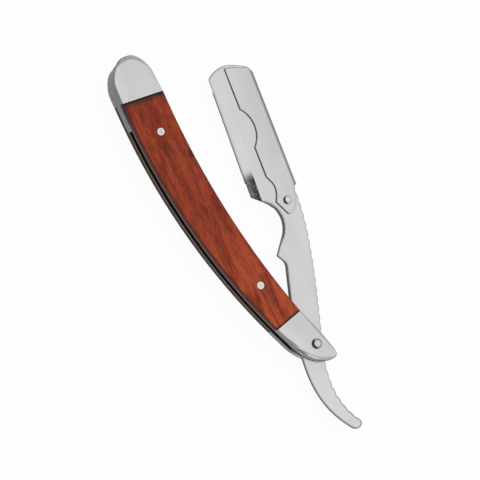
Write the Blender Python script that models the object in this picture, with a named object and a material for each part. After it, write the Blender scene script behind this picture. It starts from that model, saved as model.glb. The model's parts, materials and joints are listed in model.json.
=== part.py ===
"""Folding shaving razor: a curved two-sided handle with wood scales, steel liners and bolsters,
a steel arm with a finger recess and a tail, and a blade holder closed by a swinging cover.

The razor lies on the back of its handle. X runs along the handle from the head to the pivot, Y to the
handle's hollow side, where the arm stands, and Z up through the thickness. The origin is on the back
scale's flat face, midway along the handle. The arm is drawn in a frame of its own, at the pivot."""

import math

import bmesh
import bpy
from mathutils import Vector

MM = 0.001

# Fits: what touches, what turns, and how far cuts run past a face
SEAT_GAP = 0.02 * MM
TURN_GAP = 0.05 * MM
SEAM_GAP = 0.10 * MM
OVERRUN = 1.0 * MM

# Thicknesses through the razor
WOOD_THICKNESS = 2.5 * MM
LINER_THICKNESS = 1.0 * MM
PLATE_THICKNESS = 1.6 * MM
COVER_THICKNESS = 0.5 * MM
BLADE_THICKNESS = 0.1 * MM
SLOT_CLEARANCE = 0.15 * MM

# Handle outline
PIVOT_X = 62.5 * MM
PIVOT_RISE = 7.12 * MM
HANDLE_WIDTH = 15.2 * MM
BACK_RADIUS = 264.0 * MM
BACK_LOW_X = 2.2 * MM
BELLY_RADIUS = 320.0 * MM
BELLY_LOW_X = 20.0 * MM
HEAD_LENGTH = 21.06 * MM
HEAD_TIP_RISE = 6.7 * MM
HEAD_BACK_LENGTH = 8.0 * MM
HEAD_BELLY_LENGTH = 14.6 * MM
BACK_HEAD_SETBACK = 2.7 * MM
BACK_HEAD_DROP = 2.1 * MM
FRONT_LINER_DEPTH_SHARE = 0.28
SPACER_DEPTH_SHARE = 0.55
BACK_LINER_DEPTH_SHARE = 0.82
HEAD_BACK_SHARES = (0.30, 0.40)
HEAD_BELLY_SHARES = (0.55, 0.66)
TIP_REACH = 8.2 * MM
TIP_RISE = 3.9 * MM
TIP_BELLY_LENGTH = 12.0 * MM
TIP_BACK_LENGTH = 6.0 * MM
TIP_SHARES = (
    (-0.35, -1.99), (0.06, -1.62), (0.49, -1.13), (0.79, -0.58), (1.00, 0.08), (1.07, 0.70),
    (1.03, 1.03), (0.88, 1.20), (0.50, 1.20), (0.00, 1.12), (-0.60, 0.98),
)
WOOD_SOFTENING = 0.3 * MM
BOLSTER_SOFTENING = 0.12 * MM
TIP_ROUNDING = 1.6 * MM

# Bolsters and the seams between them and the wood, from the head's tip or from the pivot
HEAD_SEAM_BACK = 15.1 * MM
HEAD_SEAM_BELLY = 20.56 * MM
PIVOT_SEAM_BACK = 13.8 * MM
PIVOT_SEAM_BELLY = 14.15 * MM
HEAD_ROUNDING = 2.1 * MM
BACK_ROUNDING = 0.4 * MM
HEAD_ROUNDING_FADE = 5.0 * MM
TIP_ROUNDING_FADE = 5.8 * MM

# Head spacer and its dowels; the places are along from the head's tip and up from the bulging side
NOSE_CLEARANCE = 0.6 * MM
TONGUE_WIDTH = 3.0 * MM
TONGUE_LENGTH = 25.9 * MM
DOWEL_RADIUS = 1.0 * MM
DOWEL_DEPTH = 1.4 * MM
DOWEL_PLACES = ((6.8 * MM, 5.4 * MM), (11.2 * MM, 10.8 * MM))

# Scale pins, the upper one along from the head's tip and the lower one back from the pivot
PIN_HEAD_RADIUS = 1.55 * MM
PIN_HEAD_DEPTH = 0.9 * MM
PIN_RADIUS = 1.0 * MM
UPPER_PIN_ALONG = 32.4 * MM
UPPER_PIN_RISE = 9.4 * MM
LOWER_PIN_BACK = 31.3 * MM
LOWER_PIN_RISE = 7.61 * MM

# Pivot
PIVOT_RADIUS = 1.5 * MM
PIVOT_SINK_RADIUS = 2.3 * MM
PIVOT_SINK_DEPTH = 0.9 * MM
COLLAR_RADIUS = 2.1 * MM
COLLAR_HEIGHT = 0.55 * MM
COLLAR_ROUNDING = 0.25 * MM
PIVOT_END_HEIGHT = 0.22 * MM
WASHER_RADIUS = 3.4 * MM

# Half blade
BLADE_LENGTH = 42.8 * MM
BLADE_WIDTH = 11.0 * MM
BLADE_STAND_OUT = 0.25 * MM
BLADE_MARGIN = 2.8 * MM
BLADE_TAB_LENGTH = 2.7 * MM
BLADE_TAB_SETBACK = 1.7 * MM
STUD_RADIUS = 1.5 * MM
STUD_SPACING = 14.0 * MM
STUD_FIT = 0.08 * MM

# Arm, drawn with the pivot at its origin, a towards the tail and b towards the spine. What lies by the
# recess is placed from the heel, which ends the straight edge.
OPEN_ANGLE = math.radians(17.0)
HEEL_REACH = 61.3 * MM
EDGE_DROP = 3.0 * MM
HOLDER_WIDTH = 17.7 * MM
SPINE_SLOPE = math.tan(math.radians(1.65))
NOSE_BULGE = 2.9 * MM
NOSE_SHARES = ((0.17, 0.62), (0.35, 0.96), (0.47, 0.98), (0.62, 0.78), (0.80, 0.35))
SPINE_CORNER = 1.2 * MM
RECESS_RADIUS = 10.4 * MM
RECESS_FROM_HEEL = 11.8 * MM
RECESS_UNDER_EDGE = 1.75 * MM
SPUR_FROM_HEEL = 24.3 * MM
SPUR_OVER_EDGE = 1.9 * MM
SPUR_LENGTH = 4.8 * MM
SPUR_RISE = 1.9 * MM
SPUR_SHARES = ((0.10, 0.02), (0.45, 0.62), (0.75, 0.97))
TANG_DROP = 5.9 * MM
TANG_REACH = 4.5 * MM
SHANK_UNDER_SHARES = ((0.33, 0.46), (0.67, 1.0))
TAIL_REACH = 33.7 * MM
TAIL_RISE = 6.1 * MM
TAIL_END_RADIUS = 2.7 * MM
TAIL_END_TURNS = (math.radians(-50), math.radians(70))
TAIL_UNDER_SHARES = ((0.376, -0.06), (0.69, 0.15))
TAIL_HOLLOW = 6.7 * MM
TAIL_TOP_SHARES = ((0.313, -1.04), (0.669, -0.62))
TAIL_THINNING = 0.5 * MM
SHANK_TOP_FROM_HEEL = 3.8 * MM
SHANK_TOP_UNDER_SPINE = 1.47 * MM
TANG_TOP_BACK = 5.0 * MM
TANG_TOP_RISE = 5.4 * MM
SHANK_TOP_SHARES = ((0.438, 0.66), (0.762, 1.06))
SCALLOP_PITCH = 3.7 * MM
SCALLOP_DEPTH = 0.4 * MM
PLATE_SOFTENING = 0.2 * MM
BEVEL_WIDTH = 4.3 * MM
BEVEL_HOLLOW = 0.15 * MM
EDGE_THICKNESS = 0.35 * MM

# Holder cover and its rivet
FLANGE_SETBACK = 1.1 * MM
LEAF_SETBACK = 0.3 * MM
FLANGE_EDGE = 7.0 * MM
LONG_WAVE_START = 15.0 * MM
LONG_WAVE_LENGTH = 15.8 * MM
LONG_WAVE_DEPTH = 3.23 * MM
LONG_WAVE_SHARES = (
    (0.0, 0.0), (0.11, 0.44), (0.23, 0.75), (0.38, 0.94), (0.52, 1.0),
    (0.67, 0.89), (0.79, 0.68), (0.90, 0.36), (1.0, 0.0),
)
SHORT_WAVE_FROM_RIVET = 0.8 * MM
SHORT_WAVE_LENGTH = 10.3 * MM
SHORT_WAVE_DEPTH = 1.75 * MM
SHORT_WAVE_SHARES = ((0.0, 0.0), (0.19, 0.55), (0.39, 1.0), (0.61, 0.96), (0.80, 0.63), (1.0, 0.0))
RIVET_FROM_HEEL = 5.6 * MM
RIVET_UNDER_SPINE = 6.0 * MM
RIVET_RADIUS = 1.0 * MM
RIVET_HEAD_RADIUS = 1.75 * MM
RIVET_HEAD_HEIGHT = 0.65 * MM
RIVET_DOME_TURN = math.radians(75)
TONGUE_RADIUS = 3.6 * MM
TONGUE_SHARES = ((1.40, -0.45), (1.50, -0.19), (1.19, 0.36), (0.78, 0.78), (0.36, 0.94))
SPINE_END_FROM_HEEL = 1.1 * MM
SPINE_STEP = 1.5 * MM
SPINE_ROUNDING = 0.35 * MM
COVER_SOFTENING = 0.1 * MM
FOLD_SHARE = 0.8

# Facets
ROUND_SIDES = 24
SMALL_SIDES = 16
ARC_STEPS = 18
BEND_STEPS = 8
SCALLOP_STEPS = 4
ROUNDING_STEPS = 3
SOFTENING_STEPS = 2
SHARP_ANGLE = math.radians(35)

# Levels through the razor, from the back scale's flat face up
WASHER_THICKNESS = COVER_THICKNESS + BLADE_THICKNESS + 3 * SEAT_GAP + SLOT_CLEARANCE
HALF_THICKNESS = WOOD_THICKNESS + SEAT_GAP + LINER_THICKNESS
SLOT_WIDTH = PLATE_THICKNESS + 2 * WASHER_THICKNESS + 4 * SEAT_GAP
HANDLE_THICKNESS = 2 * HALF_THICKNESS + SLOT_WIDTH
MIDDLE_Z = HANDLE_THICKNESS / 2
BACK_WOOD = (0, WOOD_THICKNESS)
BACK_LINER = (WOOD_THICKNESS + SEAT_GAP, HALF_THICKNESS)
FRONT_LINER = (HANDLE_THICKNESS - HALF_THICKNESS, HANDLE_THICKNESS - WOOD_THICKNESS - SEAT_GAP)
FRONT_WOOD = (HANDLE_THICKNESS - WOOD_THICKNESS, HANDLE_THICKNESS)
PLATE = (MIDDLE_Z - PLATE_THICKNESS / 2, MIDDLE_Z + PLATE_THICKNESS / 2)
BLADE = (PLATE[0] - SEAT_GAP - BLADE_THICKNESS, PLATE[0] - SEAT_GAP)
LEAF = (BLADE[0] - SEAT_GAP - COVER_THICKNESS, BLADE[0] - SEAT_GAP)
FLANGE = (PLATE[1] + SEAT_GAP, PLATE[1] + SEAT_GAP + COVER_THICKNESS)


def back_y(x):
    """The handle's bulging side."""
    away = x - BACK_LOW_X
    return -HANDLE_WIDTH / 2 + BACK_RADIUS - math.sqrt(BACK_RADIUS ** 2 - away ** 2)


def belly_y(x):
    """The handle's hollow side."""
    away = x - BELLY_LOW_X
    return HANDLE_WIDTH / 2 + BELLY_RADIUS - math.sqrt(BELLY_RADIUS ** 2 - away ** 2)


def spine_b(a):
    """The holder's spine, in the arm's frame."""
    return EDGE_B + HOLDER_WIDTH + (a - NOSE_A) * SPINE_SLOPE


# Places in the arm's frame
EDGE_LENGTH = BLADE_LENGTH + 2 * BLADE_MARGIN
EDGE_B = -EDGE_DROP
HEEL = (-HEEL_REACH, EDGE_B)
NOSE_A = HEEL[0] - EDGE_LENGTH
NOSE_REACH = math.hypot(NOSE_A - NOSE_BULGE, NOSE_BULGE) + NOSE_CLEARANCE
SPINE_END_A = HEEL[0] + SPINE_END_FROM_HEEL
SHANK_TOP_A = HEEL[0] + SHANK_TOP_FROM_HEEL
RIVET_A = HEEL[0] + RIVET_FROM_HEEL
RIVET = (RIVET_A, spine_b(RIVET_A) - RIVET_UNDER_SPINE)
SPUR = (HEEL[0] + SPUR_FROM_HEEL, EDGE_B + SPUR_OVER_EDGE)

# Places on the handle; the head reaches as far as the folded nose needs
PIVOT = (PIVOT_X, back_y(PIVOT_X) + PIVOT_RISE)
HEAD_X = PIVOT_X - NOSE_REACH - HEAD_LENGTH
HEAD_SEAM_BACK_X = HEAD_X + HEAD_SEAM_BACK
HEAD_SEAM_BELLY_X = HEAD_X + HEAD_SEAM_BELLY
UPPER_PIN = (HEAD_X + UPPER_PIN_ALONG, back_y(HEAD_X + UPPER_PIN_ALONG) + UPPER_PIN_RISE)
LOWER_PIN = (PIVOT_X - LOWER_PIN_BACK, back_y(PIVOT_X - LOWER_PIN_BACK) + LOWER_PIN_RISE)


def material(name, colour, roughness, metallic):
    made = bpy.data.materials.new(name)
    made.use_nodes = True
    shader = made.node_tree.nodes["Principled BSDF"]
    shader.inputs["Base Color"].default_value = (*colour, 1.0)
    shader.inputs["Roughness"].default_value = roughness
    shader.inputs["Metallic"].default_value = metallic
    return made


def link(name, made, finish, parent=None):
    obj = bpy.data.objects.new(name, made)
    bpy.context.scene.collection.objects.link(obj)
    if finish:
        made.materials.append(finish)
    obj.parent = parent
    return obj


def solid(name, mesh, finish, parent=None):
    bmesh.ops.recalc_face_normals(mesh, faces=mesh.faces)
    made = bpy.data.meshes.new(name)
    mesh.to_mesh(made)
    mesh.free()
    made.shade_smooth()
    made.set_sharp_from_angle(angle=SHARP_ANGLE)
    return link(name, made, finish, parent)


def draw_out(mesh, ring, way):
    """Close a ring of points with a face and extrude it by a vector."""
    face = mesh.faces.new(ring)
    raised = bmesh.ops.extrude_face_region(mesh, geom=[face], use_keep_orig=True)["geom"]
    far = [item for item in raised if isinstance(item, bmesh.types.BMVert)]
    bmesh.ops.translate(mesh, verts=far, vec=way)


def prism_mesh(outline, low, high):
    """A straight-walled body over an outline of (x, y) points."""
    mesh = bmesh.new()
    draw_out(mesh, [mesh.verts.new((x, y, low)) for x, y in outline], (0, 0, high - low))
    return mesh


def prism(name, outline, levels, finish, parent=None):
    return solid(name, prism_mesh(outline, *levels), finish, parent)


def close_rings(mesh, rings):
    """Join rings of vertices by faces and close both ends."""
    for lower, upper in zip(rings, rings[1:]):
        for i in range(len(lower)):
            j = (i + 1) % len(lower)
            mesh.faces.new((lower[i], lower[j], upper[j], upper[i]))
    mesh.faces.new(rings[0][::-1])
    mesh.faces.new(rings[-1])


def turned(name, place, profile, finish, parent=None, sides=ROUND_SIDES):
    """A round body about a vertical axis; the profile is (radius, z), from the bottom up."""
    mesh = bmesh.new()
    rings = []
    for radius, z in profile:
        turns = [2 * math.pi * step / sides for step in range(sides)]
        ring = [(place[0] + radius * math.cos(t), place[1] + radius * math.sin(t), z) for t in turns]
        rings.append([mesh.verts.new(point) for point in ring])
    close_rings(mesh, rings)
    return solid(name, mesh, finish, parent)


def ring_piece(name, place, inner, outer, levels, finish, rounding=0):
    """A washer or a collar, its upper rim rounded where a rounding is given."""
    mesh = bmesh.new()
    low, high = levels
    quarter = spread(0, math.pi / 2, ROUNDING_STEPS) if rounding else [0]
    rim = [
        (outer - rounding + rounding * math.cos(t), high - rounding + rounding * math.sin(t))
        for t in quarter
    ]
    profile = [(inner, low), (outer, low), *rim, (inner, high)]
    turns = [2 * math.pi * step / ROUND_SIDES for step in range(ROUND_SIDES)]
    rings = [
        [mesh.verts.new((place[0] + r * math.cos(t), place[1] + r * math.sin(t), z)) for r, z in profile]
        for t in turns
    ]
    for i, ring in enumerate(rings):
        following = rings[(i + 1) % ROUND_SIDES]
        for j in range(len(profile)):
            k = (j + 1) % len(profile)
            mesh.faces.new((ring[j], ring[k], following[k], following[j]))
    return solid(name, mesh, finish)


def boolean(target, tool, operation="DIFFERENCE"):
    tool.hide_render = True
    tool.display_type = "WIRE"
    step = target.modifiers.new(tool.name, "BOOLEAN")
    step.operation = operation
    step.solver = "EXACT"
    step.object = tool


def bore(name, place, radius, levels, targets, parent=None, sides=ROUND_SIDES):
    low, high = levels
    profile = [(radius, low - OVERRUN), (radius, high + OVERRUN)]
    tool = turned(name, place, profile, None, parent, sides)
    for target in targets:
        boolean(target, tool)


def bezier(p0, p1, p2, p3, steps):
    """Points along a cubic curve, its first point left out."""
    points = []
    for step in range(1, steps + 1):
        t = step / steps
        weights = ((1 - t) ** 3, 3 * t * (1 - t) ** 2, 3 * t * t * (1 - t), t ** 3)
        spots = (p0, p1, p2, p3)
        points.append(tuple(sum(w * p[axis] for w, p in zip(weights, spots)) for axis in (0, 1)))
    return points


def smooth(points, steps):
    """A curve through every point, its first point left out."""
    found = []
    ends = [points[0], *points, points[-1]]
    for before, start, end, after in zip(ends, ends[1:], ends[2:], ends[3:]):
        first = tuple(s + (e - b) / 6 for b, s, e in zip(before, start, end))
        second = tuple(e - (a - s) / 6 for s, e, a in zip(start, end, after))
        found += bezier(start, first, second, end, steps)
    return found


def arc(centre, radius, start, end, steps):
    turns = [start + (end - start) * step / steps for step in range(steps + 1)]
    return [(centre[0] + radius * math.cos(t), centre[1] + radius * math.sin(t)) for t in turns]


def spread(start, end, steps):
    return [start + (end - start) * step / steps for step in range(steps + 1)]


def back_run(start, end, steps=ARC_STEPS):
    return [(x, back_y(x)) for x in spread(start, end, steps)]


def belly_run(start, end, steps=ARC_STEPS):
    return [(x, belly_y(x)) for x in spread(start, end, steps)]


def direction_at(x, low_x, radius):
    """The unit direction of a long side at x: an arc of this radius, lowest at low_x."""
    away = x - low_x
    return Vector((math.sqrt(radius ** 2 - away ** 2), away)) / radius


def head_tip(depth_share):
    """The head's tip in a layer; the share is 0 at the front bolster and 1 at the back bolster."""
    rise = HEAD_TIP_RISE - depth_share * BACK_HEAD_DROP
    return (HEAD_X + depth_share * BACK_HEAD_SETBACK, back_y(HEAD_X) + rise)


def head_curve(depth_share):
    """From the hollow side round the head to the bulging side."""
    tip = head_tip(depth_share)
    belly_x = tip[0] + HEAD_BELLY_LENGTH
    back_x = tip[0] + HEAD_BACK_LENGTH
    belly_end, back_end = (belly_x, belly_y(belly_x)), (back_x, back_y(back_x))
    out = direction_at(belly_x, BELLY_LOW_X, BELLY_RADIUS) * HEAD_BELLY_LENGTH * HEAD_BELLY_SHARES[0]
    rise = (belly_end[1] - tip[1]) * HEAD_BELLY_SHARES[1]
    upper = bezier(
        belly_end, (belly_end[0] - out.x, belly_end[1] - out.y), (tip[0], tip[1] + rise), tip, BEND_STEPS
    )
    away = direction_at(back_x, BACK_LOW_X, BACK_RADIUS) * HEAD_BACK_LENGTH * HEAD_BACK_SHARES[0]
    fall = (tip[1] - back_end[1]) * HEAD_BACK_SHARES[1]
    lower = bezier(
        tip, (tip[0], tip[1] - fall), (back_end[0] - away.x, back_end[1] - away.y), back_end, BEND_STEPS
    )
    return [belly_end, *upper, *lower]


def pivot_curve():
    """From the bulging side round the pivot end's tip to the hollow side."""
    back_x, belly_x = PIVOT_X - TIP_BACK_LENGTH, PIVOT_X - TIP_BELLY_LENGTH
    tip = [(PIVOT_X + along * TIP_REACH, PIVOT[1] + across * TIP_RISE) for along, across in TIP_SHARES]
    ends = [(back_x, back_y(back_x))], [(belly_x, belly_y(belly_x))]
    return ends[0] + smooth(ends[0] + tip + ends[1], BEND_STEPS // 4)


def handle_outline(depth_share):
    start = head_tip(depth_share)[0]
    back = back_run(start + HEAD_BACK_LENGTH, PIVOT_X - TIP_BACK_LENGTH)
    belly = belly_run(PIVOT_X - TIP_BELLY_LENGTH, start + HEAD_BELLY_LENGTH)
    return back[:-1] + pivot_curve()[:-1] + belly[:-1] + head_curve(depth_share)[:-1]


def wood_outline():
    back = back_run(HEAD_SEAM_BACK_X, PIVOT_X - PIVOT_SEAM_BACK)
    return back + belly_run(PIVOT_X - PIVOT_SEAM_BELLY, HEAD_SEAM_BELLY_X)


def head_bolster_outline(depth_share):
    start = head_tip(depth_share)[0]
    belly = belly_run(HEAD_SEAM_BELLY_X - SEAM_GAP, start + HEAD_BELLY_LENGTH, BEND_STEPS // 2)
    back = back_run(start + HEAD_BACK_LENGTH, HEAD_SEAM_BACK_X - SEAM_GAP, BEND_STEPS // 2)
    return belly[:-1] + head_curve(depth_share)[:-1] + back


def pivot_bolster_outline():
    back = back_run(PIVOT_X - PIVOT_SEAM_BACK + SEAM_GAP, PIVOT_X - TIP_BACK_LENGTH, BEND_STEPS // 2)
    belly = belly_run(PIVOT_X - TIP_BELLY_LENGTH, PIVOT_X - PIVOT_SEAM_BELLY + SEAM_GAP, BEND_STEPS // 2)
    return back[:-1] + pivot_curve()[:-1] + belly


def spacer_outline():
    """The head's filler, with a tongue along the bulging side below the folded blade holder."""
    head = head_curve(SPACER_DEPTH_SHARE)
    back = back_run(head[-1][0], HEAD_X + TONGUE_LENGTH)
    tongue = [(x, y + TONGUE_WIDTH) for x, y in back[::-1] if x > PIVOT_X - NOSE_REACH]
    turn = math.atan2(tongue[-1][1] - PIVOT[1], -NOSE_REACH) % (2 * math.pi)
    last = math.pi - math.asin((belly_y(head[0][0]) - PIVOT[1]) / NOSE_REACH)
    inner = arc(PIVOT, NOSE_REACH, turn, last, BEND_STEPS)
    return back + tongue[1:] + inner + head[:-1]


def soften(mesh, level, size, steps, chosen=None):
    """Round the rim at a level over, all of it or where a test of each edge's middle picks it."""
    rim = [
        edge for edge in mesh.edges
        if all(abs(v.co.z - level) < SEAT_GAP / 2 for v in edge.verts)
        and (not chosen or chosen((edge.verts[0].co + edge.verts[1].co) / 2))
    ]
    bmesh.ops.bevel(
        mesh, geom=rim, offset=size, segments=steps, profile=0.5, affect="EDGES", clamp_overlap=True
    )


def ramp(value, start, end):
    """0 up to start and 1 from end on, straight between them."""
    return min(1, max(0, (value - start) / (end - start)))


def head_rounding(x, y):
    """A share of the rim's full radius: all of it at the tip, fading down both sides."""
    tip = head_tip(0)
    down = ramp(y, tip[1] - HEAD_ROUNDING_FADE, tip[1])
    return down * ramp(x, HEAD_SEAM_BELLY_X, HEAD_SEAM_BELLY_X - HEAD_ROUNDING_FADE)


def tip_rounding(x, y):
    """A share of the rim's full radius: all of it below the pivot, fading to the tip and to the seam."""
    along = ramp(x, PIVOT_X - TIP_BACK_LENGTH, PIVOT_X)
    return along * ramp(y, PIVOT[1] + TIP_ROUNDING_FADE, PIVOT[1])


def rounded_prism(outline, levels, face, largest, share_at):
    """A straight-walled body over an anticlockwise outline. Its rim at the level of face is softened, and
    rounded up to the largest radius where the share at a point says so."""
    inward = 1 if face == levels[0] else -1
    moves = []
    for before, here, after in zip(outline[-1:] + outline[:-1], outline, outline[1:] + outline[:1]):
        runs = [(Vector(end) - Vector(start)).normalized() for start, end in ((before, here), (here, after))]
        sides = [Vector((-run.y, run.x)) for run in runs]
        moves.append((sides[0] + sides[1]) / (1 + sides[0].dot(sides[1])))
    mesh = bmesh.new()
    rings = [[mesh.verts.new((x, y, sum(levels) - face)) for x, y in outline]]
    for turn in spread(0, math.pi / 2, ROUNDING_STEPS):
        ring = []
        for (x, y), move in zip(outline, moves):
            radius = BOLSTER_SOFTENING + share_at(x, y) * (largest - BOLSTER_SOFTENING)
            drawn_in = radius * (1 - math.cos(turn)) * move
            level = face + inward * radius * (1 - math.sin(turn))
            ring.append(mesh.verts.new((x + drawn_in.x, y + drawn_in.y, level)))
        rings.append(ring)
    close_rings(mesh, rings)
    bmesh.ops.triangulate(mesh, faces=[wall for wall in mesh.faces if len(wall.verts) == 4])
    return mesh


def make_side(side, wood_levels, liner_levels, face, depth_shares, roundings, finishes):
    """One half of the handle: wood scale, liner and two bolsters; face is its outer level. The depth shares
    are the head bolster's and the liner's, and the roundings are the two bolsters' largest rim radii."""
    mesh = prism_mesh(wood_outline(), *wood_levels)
    soften(mesh, face, WOOD_SOFTENING, SOFTENING_STEPS)
    wood = solid(side + "_wood_scale", mesh, finishes["wood"])
    outline = head_bolster_outline(depth_shares[0])
    mesh = rounded_prism(outline, wood_levels, face, roundings[0], head_rounding)
    head = solid(side + "_head_bolster", mesh, finishes["polished"])
    mesh = rounded_prism(pivot_bolster_outline(), wood_levels, face, roundings[1], tip_rounding)
    end = solid(side + "_pivot_bolster", mesh, finishes["polished"])
    liner = prism(side + "_liner", handle_outline(depth_shares[1]), liner_levels, finishes["brushed"])
    return {"wood": wood, "head": head, "pivot": end, "liner": liner}


def make_scale_pin(name, place, face, inward, half, finishes):
    """A rivet through one scale and its liner, headed flush with the wood."""
    foot = face + inward * (HALF_THICKNESS - SEAT_GAP)
    neck = face + inward * PIN_HEAD_DEPTH
    steps = [(PIN_HEAD_RADIUS, face), (PIN_HEAD_RADIUS, neck), (PIN_RADIUS, neck), (PIN_RADIUS, foot)]
    turned(name, place, steps[::inward], finishes["polished"])
    bore(name + "_bore", place, PIN_RADIUS + SEAT_GAP, sorted((face, foot)), (half["wood"], half["liner"]))
    head_levels = sorted((face - inward * OVERRUN, neck + inward * SEAT_GAP))
    profile = [(PIN_HEAD_RADIUS + SEAT_GAP, level) for level in head_levels]
    boolean(half["wood"], turned(name + "_sink", place, profile, None))


def make_spacer(back, front, finishes):
    levels = (BACK_LINER[1] + SEAT_GAP, FRONT_LINER[0] - SEAT_GAP)
    spacer = prism("head_spacer", spacer_outline(), levels, finishes["brushed"])
    low, high = BACK_WOOD[1] - DOWEL_DEPTH, FRONT_WOOD[0] + DOWEL_DEPTH
    for number, (along, rise) in enumerate(DOWEL_PLACES, 1):
        place = (HEAD_X + along, back_y(HEAD_X + along) + rise)
        name = f"spacer_dowel_{number}"
        profile = [(DOWEL_RADIUS, low), (DOWEL_RADIUS, high)]
        turned(name, place, profile, finishes["polished"], sides=SMALL_SIDES)
        hole = [(DOWEL_RADIUS + SEAT_GAP, low - SEAT_GAP), (DOWEL_RADIUS + SEAT_GAP, high + SEAT_GAP)]
        tool = turned(name + "_bore", place, hole, None, sides=SMALL_SIDES)
        for target in (back["head"], back["liner"], spacer, front["liner"], front["head"]):
            boolean(target, tool)


def make_pivot(back, front, finishes):
    """The pivot rivet, its washers beside the tang and its collar on the photographed side."""
    top = HANDLE_THICKNESS + SEAT_GAP + COLLAR_HEIGHT + PIVOT_END_HEIGHT
    sink_foot = SEAT_GAP + PIVOT_SINK_DEPTH
    profile = [
        (PIVOT_SINK_RADIUS, SEAT_GAP), (PIVOT_RADIUS, sink_foot), (PIVOT_RADIUS, top - PIVOT_END_HEIGHT),
        (PIVOT_RADIUS - PIVOT_END_HEIGHT, top),
    ]
    turned("pivot_rivet", PIVOT, profile, finishes["polished"])
    sides = (back["pivot"], back["liner"], front["liner"], front["pivot"])
    bore("pivot_bore", PIVOT, PIVOT_RADIUS + SEAT_GAP, (0, HANDLE_THICKNESS), sides)
    wider = SEAT_GAP * PIVOT_SINK_RADIUS / PIVOT_SINK_DEPTH
    flare = PIVOT_SINK_RADIUS + 2 * SEAT_GAP + wider
    sink = [(flare, -OVERRUN), (flare, SEAT_GAP), (PIVOT_RADIUS + SEAT_GAP, sink_foot + 2 * SEAT_GAP)]
    boolean(back["pivot"], turned("pivot_sink", PIVOT, sink, None))
    collar = (HANDLE_THICKNESS + SEAT_GAP, HANDLE_THICKNESS + SEAT_GAP + COLLAR_HEIGHT)
    inner = PIVOT_RADIUS + SEAT_GAP
    ring_piece("pivot_collar", PIVOT, inner, COLLAR_RADIUS, collar, finishes["polished"], COLLAR_ROUNDING)
    for name, low in (
        ("back_pivot_washer", BACK_LINER[1] + SEAT_GAP), ("front_pivot_washer", PLATE[1] + SEAT_GAP)
    ):
        ring_piece(name, PIVOT, inner, WASHER_RADIUS, (low, low + WASHER_THICKNESS), finishes["brass"])


def recess_outline():
    """The finger recess: an arc with straight runs to the heel's corner and to the spur."""
    centre = (HEEL[0] + RECESS_FROM_HEEL, EDGE_B - RECESS_UNDER_EDGE)
    turns = []
    for corner, side in ((HEEL, -1), (SPUR, 1)):
        away = Vector(corner) - Vector(centre)
        toward = math.atan2(away.y, away.x) % (2 * math.pi)
        turns.append(toward + side * math.acos(RECESS_RADIUS / away.length))
    return [HEEL, *arc(centre, RECESS_RADIUS, *turns, ARC_STEPS), SPUR]


def between(start, end, shares):
    """Points placed by shares of the way from start to end, along and across."""
    return [(start[0] + a * (end[0] - start[0]), start[1] + b * (end[1] - start[1])) for a, b in shares]


def scalloped(start, *curves):
    """File cuts along the thumb's side: equal lobes that bulge from a run of curves."""
    line = [start]
    for curve in curves:
        line += bezier(line[-1], *curve, 4 * ARC_STEPS)
    lengths = [0]
    for here, there in zip(line, line[1:]):
        lengths.append(lengths[-1] + math.dist(here, there))
    lobes = round(lengths[-1] / SCALLOP_PITCH)
    points, at = [], 0
    for step in range(lobes * SCALLOP_STEPS):
        travelled = lengths[-1] * step / (lobes * SCALLOP_STEPS)
        while lengths[at + 1] < travelled:
            at += 1
        share = (travelled - lengths[at]) / (lengths[at + 1] - lengths[at])
        (x0, y0), (x1, y1) = line[at], line[at + 1]
        run = Vector((x1 - x0, y1 - y0)).normalized()
        bulge = SCALLOP_DEPTH * math.sin(math.pi * (step % SCALLOP_STEPS) / SCALLOP_STEPS)
        points.append((x0 + share * (x1 - x0) + run.y * bulge, y0 + share * (y1 - y0) - run.x * bulge))
    return points + [line[-1]]


def nose_outline(inset, spine_inset):
    """From the spine round the nose to the edge's corner, set back from the cover's own outline."""
    across = HOLDER_WIDTH - spine_inset
    corner = (NOSE_A + SPINE_CORNER + inset, spine_b(NOSE_A + SPINE_CORNER) - spine_inset)
    shoulder = (NOSE_A + inset, EDGE_B + across - SPINE_CORNER)
    bulge = [(NOSE_A + inset - out * NOSE_BULGE, EDGE_B + up * across) for up, out in NOSE_SHARES[::-1]]
    end = (NOSE_A + inset, EDGE_B)
    return [corner, shoulder] + smooth([shoulder, *bulge, end], BEND_STEPS // 4)


def plate_outline():
    shoulder = (SPUR[0] + SPUR_LENGTH, SPUR[1] + SPUR_RISE)
    tang = (TANG_REACH, -TANG_DROP)
    shank_under = bezier(shoulder, *between(shoulder, tang, SHANK_UNDER_SHARES), tang, ARC_STEPS)
    tip = arc((TAIL_REACH, TAIL_RISE), TAIL_END_RADIUS, *TAIL_END_TURNS, BEND_STEPS)
    tail_under = bezier(tang, *between(tang, tip[0], TAIL_UNDER_SHARES), tip[0], ARC_STEPS)
    tang_top = (-TANG_TOP_BACK, TANG_TOP_RISE)
    shank_top = (SHANK_TOP_A, spine_b(SHANK_TOP_A) - SHANK_TOP_UNDER_SPINE)
    hollow = [
        (tip[-1][0] + a * (tang_top[0] - tip[-1][0]), TANG_TOP_RISE + b * TAIL_HOLLOW)
        for a, b in TAIL_TOP_SHARES
    ]
    top = scalloped(
        tip[-1], (*hollow, tang_top), (*between(tang_top, shank_top, SHANK_TOP_SHARES), shank_top)
    )
    spine_inset = COVER_THICKNESS + TURN_GAP
    nose = nose_outline(0, spine_inset)
    heel_side = (SPINE_END_A, spine_b(SPINE_END_A) - spine_inset)
    spur_side = between(SPUR, shoulder, SPUR_SHARES)
    return (
        recess_outline() + spur_side + [shoulder] + shank_under + tail_under + tip[1:-1] + top
        + [heel_side] + nose[:-1] + [(NOSE_A, EDGE_B)]
    )


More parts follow.
